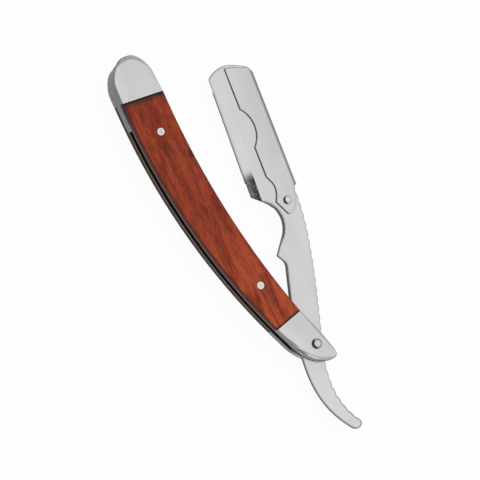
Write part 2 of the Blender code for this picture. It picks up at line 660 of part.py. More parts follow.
def plate_bevel(arm):
    """What grinding takes off the front face beside the edge, hollowed a little across."""
    depth = PLATE_THICKNESS - EDGE_THICKNESS
    width, top = BEVEL_WIDTH, PLATE[1]
    over = OVERRUN / width
    section = []
    for step in range(BEND_STEPS + 1):
        share = -over + (1 + 2 * over) * step / BEND_STEPS
        hollow = 4 * BEVEL_HOLLOW * share * (1 - share) if 0 < share < 1 else 0
        section.append((EDGE_B + share * width, top - depth * (1 - share) - hollow))
    section.append((section[0][0], section[-1][1]))
    mesh = bmesh.new()
    start, end = NOSE_A - NOSE_BULGE - OVERRUN, HEEL[0] + BEVEL_WIDTH
    base = [mesh.verts.new((start, b, z)) for b, z in section]
    draw_out(mesh, base, (end - start, 0, 0))
    return solid("bevel_cut", mesh, None, arm)


def thin_tail(mesh):
    """Draw both faces evenly together, from the tang to the tail's end."""
    start, end = WASHER_RADIUS + TURN_GAP, TAIL_REACH + TAIL_END_RADIUS
    everything = mesh.verts[:] + mesh.edges[:] + mesh.faces[:]
    bmesh.ops.bisect_plane(mesh, geom=everything, plane_co=(start, 0, 0), plane_no=(1, 0, 0))
    for vert in mesh.verts:
        thinned = TAIL_THINNING / PLATE_THICKNESS * max(0, vert.co.x - start) / (end - start)
        vert.co.z += (MIDDLE_Z - vert.co.z) * thinned


def stud_places():
    middle = NOSE_A + EDGE_LENGTH / 2
    b = EDGE_B - BLADE_STAND_OUT + BLADE_WIDTH
    return [(middle + way * STUD_SPACING, b) for way in (-1, 1)]


def make_plate(arm, finishes):
    mesh = prism_mesh(plate_outline(), *PLATE)
    for level in PLATE:
        soften(mesh, level, PLATE_SOFTENING, 1, lambda co: co.x > HEEL[0] or co.y > EDGE_B + SEAT_GAP)
    thin_tail(mesh)
    plate = solid("arm_plate", mesh, finishes["polished"], arm)
    boolean(plate, plate_bevel(arm))
    bore("tang_bore", (0, 0), PIVOT_RADIUS + TURN_GAP, PLATE, (plate,), arm)
    bore("rivet_seat", RIVET, RIVET_RADIUS + SEAT_GAP, PLATE, (plate,), arm, SMALL_SIDES)
    for number, place in enumerate(stud_places(), 1):
        profile = [(STUD_RADIUS, PLATE[0] - BLADE_THICKNESS), (STUD_RADIUS, MIDDLE_Z)]
        stud = turned(f"stud_{number}", place, profile, None, arm, SMALL_SIDES)
        boolean(plate, stud, "UNION")
    return plate


def blade_outline():
    start = NOSE_A + (EDGE_LENGTH - BLADE_LENGTH) / 2
    end = start + BLADE_LENGTH
    low = EDGE_B - BLADE_STAND_OUT
    high, tab = low + BLADE_WIDTH, low + BLADE_TAB_SETBACK
    notches = []
    for a, b in stud_places()[::-1]:
        notches += arc((a, b), STUD_RADIUS + STUD_FIT, 0, -math.pi, SMALL_SIDES // 2)
    return [
        (start, tab), (start + BLADE_TAB_LENGTH, tab), (start + BLADE_TAB_LENGTH, low),
        (end - BLADE_TAB_LENGTH, low), (end - BLADE_TAB_LENGTH, tab), (end, tab), (end, high),
        *notches, (start, high),
    ]


def tongue_outline():
    """The cover's end round its rivet, from the tip by the recess to the spine's step."""
    turn = [(RIVET[0] + a * TONGUE_RADIUS, RIVET[1] + b * TONGUE_RADIUS) for a, b in TONGUE_SHARES]
    step = (SPINE_END_A, spine_b(SPINE_END_A) - SPINE_STEP)
    return turn + [step]


def flange_outline():
    """The front flange, its free edge waved twice between straight runs."""
    edge = EDGE_B + FLANGE_EDGE
    start = NOSE_A + FLANGE_SETBACK - NOSE_BULGE
    lower = [(start, edge + (start - NOSE_A) * SPINE_SLOPE)]
    short_start = RIVET[0] - NOSE_A - SHORT_WAVE_FROM_RIVET - SHORT_WAVE_LENGTH
    for first, length, depth, shares in (
        (LONG_WAVE_START, LONG_WAVE_LENGTH, LONG_WAVE_DEPTH, LONG_WAVE_SHARES),
        (short_start, SHORT_WAVE_LENGTH, SHORT_WAVE_DEPTH, SHORT_WAVE_SHARES),
    ):
        wave = []
        for along, up in shares:
            away = first + along * length
            wave.append((NOSE_A + away, edge + away * SPINE_SLOPE + up * depth))
        lower += [wave[0], *smooth(wave, BEND_STEPS // 4)]
    inside = FOLD_SHARE * COVER_THICKNESS
    heel_side = (SPINE_END_A, spine_b(SPINE_END_A) - inside)
    nose = nose_outline(FLANGE_SETBACK, inside)
    above = [point for point in nose if point[1] > edge]
    return lower + tongue_outline() + [heel_side] + above


def leaf_outline():
    """The back leaf: as far as the edge and the recess, and round the rivet like the flange."""
    inside = FOLD_SHARE * COVER_THICKNESS
    recess = [point for point in recess_outline() if point[0] < RIVET[0] + RIVET_RADIUS]
    heel = (recess[0][0], EDGE_B + LEAF_SETBACK)
    heel_side = (SPINE_END_A, spine_b(SPINE_END_A) - inside)
    nose = nose_outline(0, inside)
    above = [point for point in nose if point[1] > EDGE_B + 2 * LEAF_SETBACK]
    return [heel] + recess[2:] + tongue_outline() + [heel_side] + above + [(NOSE_A, EDGE_B + LEAF_SETBACK)]


def make_cover(arm, finishes):
    """A folded channel: front flange, spine and back leaf, swinging on the holder rivet.
    The flange and the leaf reach into the spine by a share of its thickness."""
    swing = bpy.data.objects.new("cover_swing_axis", None)
    bpy.context.scene.collection.objects.link(swing)
    swing.parent = arm
    swing.location = (*RIVET, 0)
    low, high = LEAF[0], FLANGE[1]
    start = NOSE_A + FLANGE_SETBACK + SPINE_CORNER
    top = spine_b(start)
    centre = (top - SPINE_ROUNDING, high - SPINE_ROUNDING)
    upper = arc(centre, SPINE_ROUNDING, 0, math.pi / 2, ROUNDING_STEPS)
    section = [(top - COVER_THICKNESS, low), (top - SPINE_ROUNDING, low)]
    section += [(b, low + high - z) for b, z in upper[::-1][1:]]
    section += upper + [(top - COVER_THICKNESS, high)]
    mesh = bmesh.new()
    base = [mesh.verts.new((start, b, z)) for b, z in section]
    length = SPINE_END_A - start
    draw_out(mesh, base, (length, length * SPINE_SLOPE, 0))
    cover = solid("holder_cover", mesh, finishes["polished"], swing)
    cover.location = (-RIVET[0], -RIVET[1], 0)
    for name, outline, levels, face in (
        ("cover_flange", flange_outline(), FLANGE, FLANGE[1]), ("cover_leaf", leaf_outline(), LEAF, LEAF[0])
    ):
        sheet = prism_mesh(outline, *levels)
        soften(sheet, face, COVER_SOFTENING, 1, lambda co: co.y < spine_b(co.x) - 2 * COVER_THICKNESS)
        boolean(cover, solid(name, sheet, None, arm), "UNION")
    bore("cover_bore", RIVET, RIVET_RADIUS + TURN_GAP, (low, high), (cover,), arm, SMALL_SIDES)


def make_holder_rivet(arm, finishes):
    low, high = LEAF[0] - TURN_GAP, FLANGE[1] + TURN_GAP
    turns = spread(0, RIVET_DOME_TURN, ROUNDING_STEPS + 1)
    dome = [(RIVET_HEAD_RADIUS * math.cos(t), RIVET_HEAD_HEIGHT * math.sin(t)) for t in turns]
    profile = [(radius, low - rise) for radius, rise in dome[::-1]]
    profile += [(RIVET_RADIUS, low), (RIVET_RADIUS, high)]
    profile += [(radius, high + rise) for radius, rise in dome]
    turned("holder_rivet", RIVET, profile, finishes["polished"], arm, SMALL_SIDES)


def main():
    for obj in list(bpy.data.objects):
        bpy.data.objects.remove(obj, do_unlink=True)
    finishes = {
        "wood": material("red_wood", (0.27, 0.055, 0.028), 0.42, 0.0),
        "polished": material("polished_steel", (0.62, 0.62, 0.61), 0.22, 1.0),
        "brushed": material("brushed_steel", (0.30, 0.29, 0.27), 0.42, 1.0),
        "brass": material("brass", (0.62, 0.44, 0.20), 0.35, 1.0),
    }
    depth_shares, roundings = (1, BACK_LINER_DEPTH_SHARE), (BACK_ROUNDING, BACK_ROUNDING)
    back = make_side("back", BACK_WOOD, BACK_LINER, BACK_WOOD[0], depth_shares, roundings, finishes)
    depth_shares, roundings = (0, FRONT_LINER_DEPTH_SHARE), (HEAD_ROUNDING, TIP_ROUNDING)
    front = make_side("front", FRONT_WOOD, FRONT_LINER, FRONT_WOOD[1], depth_shares, roundings, finishes)
    for side, half, face, inward in (("back", back, 0, 1), ("front", front, HANDLE_THICKNESS, -1)):
        for height, place in (("upper", UPPER_PIN), ("lower", LOWER_PIN)):
            make_scale_pin(f"{side}_{height}_scale_pin", place, face, inward, half, finishes)
    make_spacer(back, front, finishes)
    make_pivot(back, front, finishes)
    arm = bpy.data.objects.new("arm_pivot_axis", None)
    bpy.context.scene.collection.objects.link(arm)
    arm.location = (*PIVOT, 0)
    arm.rotation_euler = (0, 0, -OPEN_ANGLE)
    make_plate(arm, finishes)
    prism("half_blade", blade_outline(), BLADE, finishes["polished"], arm)
    make_cover(arm, finishes)
    make_holder_rivet(arm, finishes)


main()
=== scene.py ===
"""The looks of a folding shaving razor: its camera and light, finely rounded pieces and their finishes.

Most shown pieces begin as a copy of the solid that they stand for: their flat faces are joined again,
the liners' and the scale pins' sharp rims are rounded, and they are shaded smooth. The pivot washers and
the spacer's dowels keep their solids and only take a finish. The finishes are worked out from places on
the razor, so a streak, a mark or a seam keeps its size and moves with its piece."""

import json
import math

import bmesh
import bpy
from mathutils import Matrix, Vector


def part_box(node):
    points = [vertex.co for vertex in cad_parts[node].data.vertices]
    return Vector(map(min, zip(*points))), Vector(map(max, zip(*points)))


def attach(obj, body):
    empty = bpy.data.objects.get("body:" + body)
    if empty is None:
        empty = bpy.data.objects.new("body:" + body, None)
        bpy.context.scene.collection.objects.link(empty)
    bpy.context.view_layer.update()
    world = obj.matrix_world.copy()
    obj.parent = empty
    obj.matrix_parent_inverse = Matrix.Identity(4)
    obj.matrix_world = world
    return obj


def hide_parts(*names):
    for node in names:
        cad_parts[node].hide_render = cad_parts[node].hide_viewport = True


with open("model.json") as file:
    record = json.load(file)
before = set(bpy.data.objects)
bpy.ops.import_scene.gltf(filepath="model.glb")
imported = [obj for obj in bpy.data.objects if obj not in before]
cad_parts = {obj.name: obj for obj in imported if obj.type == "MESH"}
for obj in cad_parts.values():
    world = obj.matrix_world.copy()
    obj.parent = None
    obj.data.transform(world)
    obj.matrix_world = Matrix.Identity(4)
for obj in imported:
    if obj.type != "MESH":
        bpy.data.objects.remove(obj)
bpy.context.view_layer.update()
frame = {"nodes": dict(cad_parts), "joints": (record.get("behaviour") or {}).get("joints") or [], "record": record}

MM = 0.001
HERE = (0, 0, 0)

# The photograph's view: directions in the row's frame, and where the pivot's front shows
VIEW_RIGHT = Vector((0.575, 0.728, 0.364))
VIEW_TOWARD = Vector((-0.130, -0.356, 0.925))
PHOTO_SIZE = 480
PIXELS_PER_MM = 2.6
PIVOT_PIXEL = (317.0, 343.5)
CAMERA_DISTANCE = 3.0

# Light
WHITE = (1, 1, 1, 1)
WORLD_STRENGTH = 0.62
LAMP_PLACE = Vector((-0.25, 0.85, 1.35))
LAMP_SIZE = 1.1
LAMP_POWER = 9.0
FLOOR_SIZE = 12.0
FLOOR_DROP = 0.05 * MM
FLOOR_COLOUR = (0.86, 0.86, 0.86, 1)
FLOOR_GLOW_SHARE = 0.95

# Meshes
WELD = 0.001 * MM
FLAT_ANGLE = math.radians(0.4)
RIM_ANGLE = math.radians(55)
RIM_STEPS = 2
SHARP_ANGLE = math.radians(62)
LINER_RIM = 0.14 * MM
PIN_RIM = 0.12 * MM

# The arm's own frame: a runs along it from its pivot and b across it, turned this much from the handle's.
# The holder's straight edge lies at one b, and the cover's spine on a slanted line.
OPEN_ANGLE = math.radians(17)
EDGE_B = -3.0 * MM
SPINE_SLOPE = math.tan(math.radians(1.65))
SPINE_B = 17.86 * MM
PIVOT = {joint["name"]: Vector(joint["pos_m"]) for joint in frame["joints"]}["arm_pivot"]

# Painted stand-ins for what polished rivets mirror in the photograph: the dark on one side and a bright
# spot. They are directions on the piece, so they don't follow the camera or the light.
DARK_SIDE = (-0.25, -0.97, 0.0)
BRIGHT_SPOT = (-0.05, -0.10, 0.994)

# The handle's long sides are arcs: their centres and radii. Its seams and its slot lie along it.
BACK_ARC = ((2.2 * MM, 256.4 * MM, 0.0), 264.0 * MM)
BELLY_ARC = ((20.0 * MM, 327.6 * MM, 0.0), 320.0 * MM)
HEAD_SEAM_X = -56.7 * MM
SLOT_START_X = -45.9 * MM
PIVOT_SEAM_X = 48.7 * MM

# How much the head's tip is worn down, and between which places it comes in and fades
HEAD_WEAR = 0.9 * MM
HEAD_WEAR_STARTS_Y = (1 * MM, 6.5 * MM)
HEAD_WEAR_ENDS_Y = (11 * MM, 16 * MM)
HEAD_WEAR_ENDS_X = (-72 * MM, -64 * MM)

# How much the cover's corner at the nose stands out, and where. Its fold gives way as much.
NOSE_CORNER = 0.5 * MM
NOSE_CORNER_FORWARD_SHARE = 0.6
CORNER_STARTS_B = (10.5 * MM, 12.9 * MM)
CORNER_ENDS_B = (13.3 * MM, 14.25 * MM)
CORNER_ENDS_A = (-108.5 * MM, -107.5 * MM)
FLANGE_STARTS_Z = (5.4 * MM, 5.9 * MM)
FOLD_STARTS_B = (14.3 * MM, 14.7 * MM)
FOLD_ENDS_A = (-107.3 * MM, -106.8 * MM)

# How upright a normal is, from 0 on a wall to 1 on a level face: ranges between kinds of places
OFF_WALL = (0.2, 0.4)
SIDE_TO_RIM = (0.25, 0.75)
RIM_TO_FACE = (0.985, 0.998)
BEVEL_TO_FACE = (0.84, 0.9)
WALL_TO_FACE = (0.3, 0.95)
OUTLINED = (0.6, 0.9)
TOP = (0.5, 0.9)

# A noise value's range around its middle
NOISE_MIDDLE = 0.5
NOISE_RANGE = (0.3, 0.7)

# How a piece lies in its body: where its length starts and how it is turned
IN_HANDLE = (HERE, 0.0)
IN_ARM = (PIVOT, -OPEN_ANGLE)

BODY_OF = {node: body for body, nodes in frame["record"]["behaviour"]["bodies"].items() for node in nodes}


class Finish:
    """A material in the making: a Principled shader and the nodes that feed it, in metres."""

    def __init__(self, name, roughness, metallic=1.0):
        self.material = bpy.data.materials.new(name)
        self.material.use_nodes = True
        self.tree = self.material.node_tree
        self.shader = self.tree.nodes["Principled BSDF"]
        self.set(Metallic=metallic, Roughness=roughness)
        coordinates = self.node("ShaderNodeTexCoord")
        self.place = coordinates.outputs["Object"]
        self.normal = coordinates.outputs["Normal"]

    def set(self, **values):
        for name, value in values.items():
            self.feed(self.shader.inputs[name.replace("_", " ")], value)

    def feed(self, socket, value):
        if isinstance(value, bpy.types.NodeSocket):
            self.tree.links.new(value, socket)
        else:
            socket.default_value = value

    def node(self, kind, values=None, **settings):
        made = self.tree.nodes.new(kind)
        for name, value in settings.items():
            setattr(made, name, value)
        for name, value in (values or {}).items():
            self.feed(made.inputs[name], value)
        return made

    def sum(self, operation, *values):
        return self.node("ShaderNodeMath", dict(enumerate(values)), operation=operation).outputs[0]

    def plus(self, first, *others):
        for other in others:
            first = self.sum("ADD", first, other)
        return first

    def minus(self, first, second):
        return self.sum("SUBTRACT", first, second)

    def times(self, first, *others):
        for other in others:
            first = self.sum("MULTIPLY", first, other)
        return first

    def vector(self, operation, values, output=0):
        return self.node("ShaderNodeVectorMath", values, operation=operation).outputs[output]

    def dot(self, first, second):
        return self.vector("DOT_PRODUCT", {0: first, 1: second}, "Value")

    def local(self, origin=HERE, turn=0.0, spans=(1, 1, 1)):
        """Places from an origin, turned about Z and counted in spans, so that a texture has that size."""
        values = {"Vector": self.place, "Location": origin, "Rotation": (0, 0, turn), "Scale": spans}
        return self.node("ShaderNodeMapping", values, vector_type="TEXTURE").outputs[0]

    def axes(self, vector):
        return self.node("ShaderNodeSeparateXYZ", {"Vector": vector}).outputs

    def noise(self, vector, detail=2.0, roughness=0.5, distortion=0.0):
        values = {"Vector": vector, "Scale": 1.0, "Detail": detail, "Roughness": roughness}
        return self.node("ShaderNodeTexNoise", {**values, "Distortion": distortion}).outputs["Fac"]

    def rise(self, value, low, high, start=0.0, end=1.0):
        """A smooth way from start to end as a value goes from low to high."""
        values = {"Value": value, "From Min": low, "From Max": high, "To Min": start, "To Max": end}
        return self.node("ShaderNodeMapRange", values, interpolation_type="SMOOTHSTEP").outputs[0]

    def fall(self, value, low, high, start=1.0):
        """A smooth way down to 0 as a value goes from low to high."""
        return self.rise(value, low, high, start, 0.0)

    def mix(self, share, first, second):
        """One colour goes over into another by a share."""
        made = self.node("ShaderNodeMix", data_type="RGBA")
        sockets = {socket.identifier: socket for socket in made.inputs}
        for name, value in (("Factor_Float", share), ("A_Color", first), ("B_Color", second)):
            self.feed(sockets[name], value)
        return [socket for socket in made.outputs if socket.identifier == "Result_Color"][0]

    def shade(self, tint, lightness):
        """A tint times a lightness that varies."""
        return self.vector("SCALE", {0: tint, "Scale": lightness})

    def scaled(self, lightness, share, factor):
        """Lightness times a factor where a share is 1."""
        return self.times(lightness, self.rise(share, 0.0, 1.0, 1.0, factor))

    def up(self):
        """1 on faces that look up along Z, -1 on those that look down."""
        return self.axes(self.normal)[2]

    def upright(self):
        """1 on faces that look along Z either way, 0 on walls."""
        return self.sum("ABSOLUTE", self.up())

    def facing(self, way):
        """How much a face looks one way."""
        return self.dot(self.normal, way)

    def edges(self, radius, low=0.96, high=0.999):
        """1 along a piece's edges: where a normal that is rounded this wide leaves the face's own."""
        rounded = self.node("ShaderNodeBevel", {"Radius": radius}, samples=12).outputs[0]
        own = self.node("ShaderNodeNewGeometry").outputs["Normal"]
        return self.fall(self.dot(rounded, own), low, high)

    def from_arc(self, arc):
        """How far out of a long side's arc a place lies, seen from above."""
        centre, radius = arc
        flat = self.vector("MULTIPLY", {0: self.place, 1: (1, 1, 0)})
        return self.minus(self.vector("DISTANCE", {0: flat, 1: centre}, "Value"), radius)

    def bump(self, height, depth):
        values = {"Height": height, "Distance": depth, "Strength": 1.0}
        self.feed(self.shader.inputs["Normal"], self.node("ShaderNodeBump", values).outputs[0])

    def within(self, place, radii, turn=0.0, ragged=0.0, softness=0.35):
        """1 inside a round or oval mark, with a soft and ragged edge."""
        x, y = self.axes(self.local((*place, 0), turn, (*radii, 1)))[:2]
        away = self.sum("SQRT", self.plus(self.times(x, x), self.times(y, y)))
        if ragged:
            rough = self.noise(self.local(spans=(min(radii),) * 3), detail=3.0)
            away = self.plus(away, self.times(self.minus(rough, NOISE_MIDDLE), ragged))
        return self.fall(away, 1 - softness, 1 + softness)


# Satin polished steel: how far each of its textures reaches along, across and through a piece
STREAK_SPANS = (16 * MM, 0.11 * MM, 0.11 * MM)
CLOUD_SPANS = (17 * MM, 7 * MM, 7 * MM)
PIT_SPANS = (0.55 * MM, 0.4 * MM, 0.4 * MM)
SCORE_SPANS = (4 * MM, 0.7 * MM, 0.7 * MM)
GRAIN_ON_FACES, GRAIN_ON_WALLS = 0.08, 0.42
CLOUD_DEPTH = 0.16
PITTED = (0.70, 0.80)
PIT_DEPTH = -0.16
STEEL_ROUGHNESS = 0.2
STREAK_ROUGHNESS = (STEEL_ROUGHNESS - 0.04, STEEL_ROUGHNESS + 0.08)
WALL_ROUGHNESS = 0.12
STEEL_BUMP = 0.002 * MM
STEEL_TINT = (1.0, 0.998, 1.001)


def steel(name, lie, tones, tint=STEEL_TINT, flat=RIM_TO_FACE, line=None, scored=1.0, marks=()):
    """Satin polished steel: its faces, rounded rims and ground side walls each have their own tone in the
    base colour, as in the photograph, the darker rims and walls as painted shade and painted reflection.
    Fine streaks run along the piece, over soft clouds and a few tiny pits. The line is how wide and how
    dark the faces' outlines of painted shade are, and the marks are functions that change the lightness
    in places."""
    finish = Finish(name, STEEL_ROUGHNESS)
    face, rim, side = tones
    streaks = finish.noise(finish.local(*lie, STREAK_SPANS), detail=3.0, roughness=0.6)
    clouds = finish.noise(finish.local(*lie, CLOUD_SPANS))
    pits = finish.noise(finish.local(*lie, PIT_SPANS), detail=1.0)
    scores = finish.noise(finish.local(*lie, SCORE_SPANS))
    upright = finish.upright()
    wall = finish.fall(upright, *WALL_TO_FACE)
    depth = finish.rise(wall, 0.0, 1.0, GRAIN_ON_FACES, GRAIN_ON_WALLS)
    grain = finish.times(finish.minus(streaks, NOISE_MIDDLE), depth)
    haze = finish.times(finish.minus(clouds, NOISE_MIDDLE), CLOUD_DEPTH)
    spots = finish.rise(pits, *PITTED, 0.0, PIT_DEPTH)
    ground = finish.times(finish.minus(scores, NOISE_MIDDLE), wall, scored)
    # Painted shade and reflection: rims and side walls take darker tones than the faces
    to_face = finish.rise(upright, *flat, 0.0, face - rim)
    plain = finish.plus(finish.rise(upright, *SIDE_TO_RIM, side, rim), to_face)
    lightness = finish.times(plain, finish.plus(grain, haze, spots, 1.0, ground))
    # Painted shade along the faces' edges
    if line:
        width, darkness = line
        outline = finish.times(finish.edges(width), finish.rise(upright, *OUTLINED))
        lightness = finish.scaled(lightness, outline, darkness)
    for mark in marks:
        lightness = mark(finish, lightness)
    finish.set(Base_Color=finish.shade(tint, lightness))
    rough = finish.rise(streaks, *NOISE_RANGE, *STREAK_ROUGHNESS)
    finish.set(Roughness=finish.plus(rough, finish.rise(wall, 0.0, 1.0, 0.0, WALL_ROUGHNESS)))
    finish.bump(streaks, STEEL_BUMP)
    return finish.material


def smooth_share(value, low, high):
    """A smooth way from 0 to 1 as a number goes from low to high."""
    share = min(max((value - low) / (high - low), 0.0), 1.0)
    return share * share * (3 - 2 * share)


def ease_head(place):
    """The head's tip is worn a little rounder towards the bulging side."""
    share = smooth_share(place.y, *HEAD_WEAR_STARTS_Y) * (1 - smooth_share(place.y, *HEAD_WEAR_ENDS_Y))
    share *= 1 - smooth_share(place.x, *HEAD_WEAR_ENDS_X)
    return place + Vector((HEAD_WEAR * share, 0, 0))


def fill_nose(place):
    """The cover's front corner at the nose stands out a little more, and its fold starts on a slant."""
    along = Vector((math.cos(OPEN_ANGLE), -math.sin(OPEN_ANGLE), 0))
    across = Vector((math.sin(OPEN_ANGLE), math.cos(OPEN_ANGLE), 0))
    a, b = (place - PIVOT).dot(along), (place - PIVOT).dot(across)
    corner = smooth_share(b, *CORNER_STARTS_B) * (1 - smooth_share(b, *CORNER_ENDS_B))
    corner *= smooth_share(place.z, *FLANGE_STARTS_Z) * (1 - smooth_share(a, *CORNER_ENDS_A))
    fold = smooth_share(b, *FOLD_STARTS_B) * (1 - smooth_share(a, *FOLD_ENDS_A))
    outward = across - NOSE_CORNER_FORWARD_SHARE * along
    return place + NOSE_CORNER * (corner * outward + fold * along)


def dress(node, finish, rim=0.0, reshape=None):
    """A finely rounded, smoothly shaded copy of a solid, which it stands for."""
    solid = frame["nodes"][node]
    data = bpy.data.meshes.new(node + "_finished")
    faces = [list(face.vertices) for face in solid.data.polygons]
    data.from_pydata([vertex.co for vertex in solid.data.vertices], [], faces)
    mesh = bmesh.new()
    mesh.from_mesh(data)
    bmesh.ops.remove_doubles(mesh, verts=mesh.verts, dist=WELD)
    bmesh.ops.dissolve_limit(mesh, angle_limit=FLAT_ANGLE, verts=mesh.verts, edges=mesh.edges)
    if rim:
        inner = [edge for edge in mesh.edges if len(edge.link_faces) == 2]
        sharp = [edge for edge in inner if edge.calc_face_angle() > RIM_ANGLE]
        settings = {"segments": RIM_STEPS, "profile": 0.5, "affect": "EDGES", "clamp_overlap": True}
        bmesh.ops.bevel(mesh, geom=sharp, offset=rim, **settings)
    if reshape:
        for vertex in mesh.verts:
            vertex.co = reshape(vertex.co)
    mesh.to_mesh(data)
    mesh.free()
    data.shade_smooth()
    data.set_sharp_from_angle(angle=SHARP_ANGLE)
    data.materials.append(finish)
    piece = bpy.data.objects.new(node + "_finished", data)
    bpy.context.scene.collection.objects.link(piece)
    piece.modifiers.new("flat faces stay flat", "WEIGHTED_NORMAL").keep_sharp = True
    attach(piece, BODY_OF[node])
    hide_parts(node)
    return piece


def finish_node(node, finish):
    """A CAD solid whose shape is right keeps it and takes a finish."""
    frame["nodes"][node].data.materials[0] = finish


def end_plane(node, way):
    """A point of a piece's flat end, the one that looks along X by way, and its direction."""
    ends = [face for face in frame["nodes"][node].data.polygons if face.normal.x * way > 0.9]
    largest = max(ends, key=lambda face: face.area)
    return largest.center.copy(), largest.normal.copy()


def middle_and_radius(pin):
    """Where a pin's axis lies, seen from above, and its radius."""
    low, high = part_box(pin)
    return ((low + high) / 2)[:2], (high.x - low.x) / 2


# Red wood: its grain's direction, and how far each texture reaches along, across and through
GRAIN_TURN = math.radians(-11)
GRAIN = (HERE, GRAIN_TURN)
BAND_SPANS = (20 * MM, 2.4 * MM, 2.4 * MM)
FLECK_SPANS = (3.0 * MM, 0.7 * MM, 0.7 * MM)
BLOTCH_SPANS = (8 * MM, 5 * MM, 5 * MM)
PORE_SPANS = (0.8 * MM, 0.2 * MM, 0.2 * MM)
UNEVEN_SPANS = (0.6 * MM, 0.6 * MM, 0.6 * MM)
WOOD_ROUGHNESS = 0.4
FLECK_ROUGHNESS = (0.36, 0.5)
SHEEN_ON_WALLS, SHEEN_ON_FACES = 0.05, 0.18
WOOD_BUMP = 0.012 * MM

# Its colours, from the plain ones to those that a texture, a mark or an edge goes over into
DARK_BAND = (0.200, 0.0250, 0.0090, 1)
RED_BAND = (0.335, 0.0490, 0.0150, 1)
ORANGE_BAND = (0.465, 0.0800, 0.0270, 1)
DARK_FLECK = (0.150, 0.0130, 0.0035, 1)
PALE_FLECK = (0.390, 0.0850, 0.0400, 1)
BLOTCH = (0.120, 0.0190, 0.0085, 1)
PORE = (0.08, 0.014, 0.007, 1)
KNOT = (0.055, 0.012, 0.008, 1)
HOLLOW_EDGE_DARK = (0.070, 0.013, 0.006, 1)
BACK_EDGE_DARK = (0.075, 0.015, 0.009, 1)
# The walls' colours are partly their own and partly painted shade, darkest at the bottom.
LOW_WALL = (0.034, 0.013, 0.010, 1)
HIGH_WALL = (0.140, 0.022, 0.011, 1)
FRONT_WALL_BLACK = (0.010, 0.009, 0.008, 1)
END_BROWN = (0.05, 0.017, 0.010, 1)
END_BLACK = (0.014, 0.006, 0.005, 1)
PIN_SHADOW = (0.03, 0.012, 0.010, 1)

# Between which values of its texture a colour comes in, and how strongly
BAND_RANGE = (0.36, 0.64)
ORANGE_RANGE = (0.34, 0.62)
DARK_FLECK_RANGE, DARK_FLECK_SHARE = (0.48, 0.66), 0.38
PALE_FLECK_RANGE, PALE_FLECK_SHARE = (0.34, 0.52), 0.36
BLOTCH_RANGE, BLOTCH_SHARE = (0.52, 0.72), 0.45
PORE_RANGE, PORE_SHARE = (0.60, 0.72), 0.35
MARK_RAGGEDNESS = 1.1
WALL_SHARE = 0.92
HOLLOW_EDGE_SHARE = 0.3
BACK_EDGE_SHARE = 0.85
FRONT_WALL_BLACK_SHARE = 0.97
END_BROWN_SHARE = 0.8
END_BLACK_SHARE = 0.97
PIN_SHADOW_STRENGTH = 0.6

# Where the orange bands come in, where the front wall is black, and how wide the rims' colours reach
ORANGE_STARTS_X = (-5 * MM, 30 * MM)
FRONT_WALL_BLACK_ENDS_X = (HEAD_SEAM_X + 6 * MM, HEAD_SEAM_X + 9.5 * MM)
FRONT_WALL_BLACK_ENDS_Z = (8.9 * MM, 9.6 * MM)
WALL_RANGE_Z = (7.8 * MM, 9.6 * MM)
HOLLOW_EDGE_DEPTH = (0.2 * MM, 0.9 * MM)
BACK_EDGE_X = (HEAD_SEAM_X, HEAD_SEAM_X + 15 * MM)
BACK_EDGE_WIDTHS = (1.6 * MM, 0.45 * MM)
BACK_EDGE_REACH = (0.65, 1.15)
HOLLOW_EDGE_UNEVENNESS = 0.3 * MM
BACK_EDGE_UNEVENNESS = 0.7 * MM
HEAD_END_WIDTH = 0.7 * MM
PIVOT_END_WIDTH = 0.3 * MM
END_BROWN_REACH = (1.0, 4.2)
END_BLACK_REACH = (0.6, 1.3)
PIN_SHADOW_REACH = 1.16
SHEEN_UP = (0.45, 0.97)

# The wood's knot and dark places: middle, radii and how dark
WOOD_MARKS = (
    ((-25.6 * MM, 9.9 * MM), (1.7 * MM, 1.0 * MM), 0.9),
    ((-32.6 * MM, 2.7 * MM), (3.4 * MM, 1.8 * MM), 0.32),
    ((34.8 * MM, 2.1 * MM), (6.2 * MM, 1.8 * MM), 0.35),
    ((40.0 * MM, 2.6 * MM), (2.0 * MM, 1.2 * MM), 0.3),
)


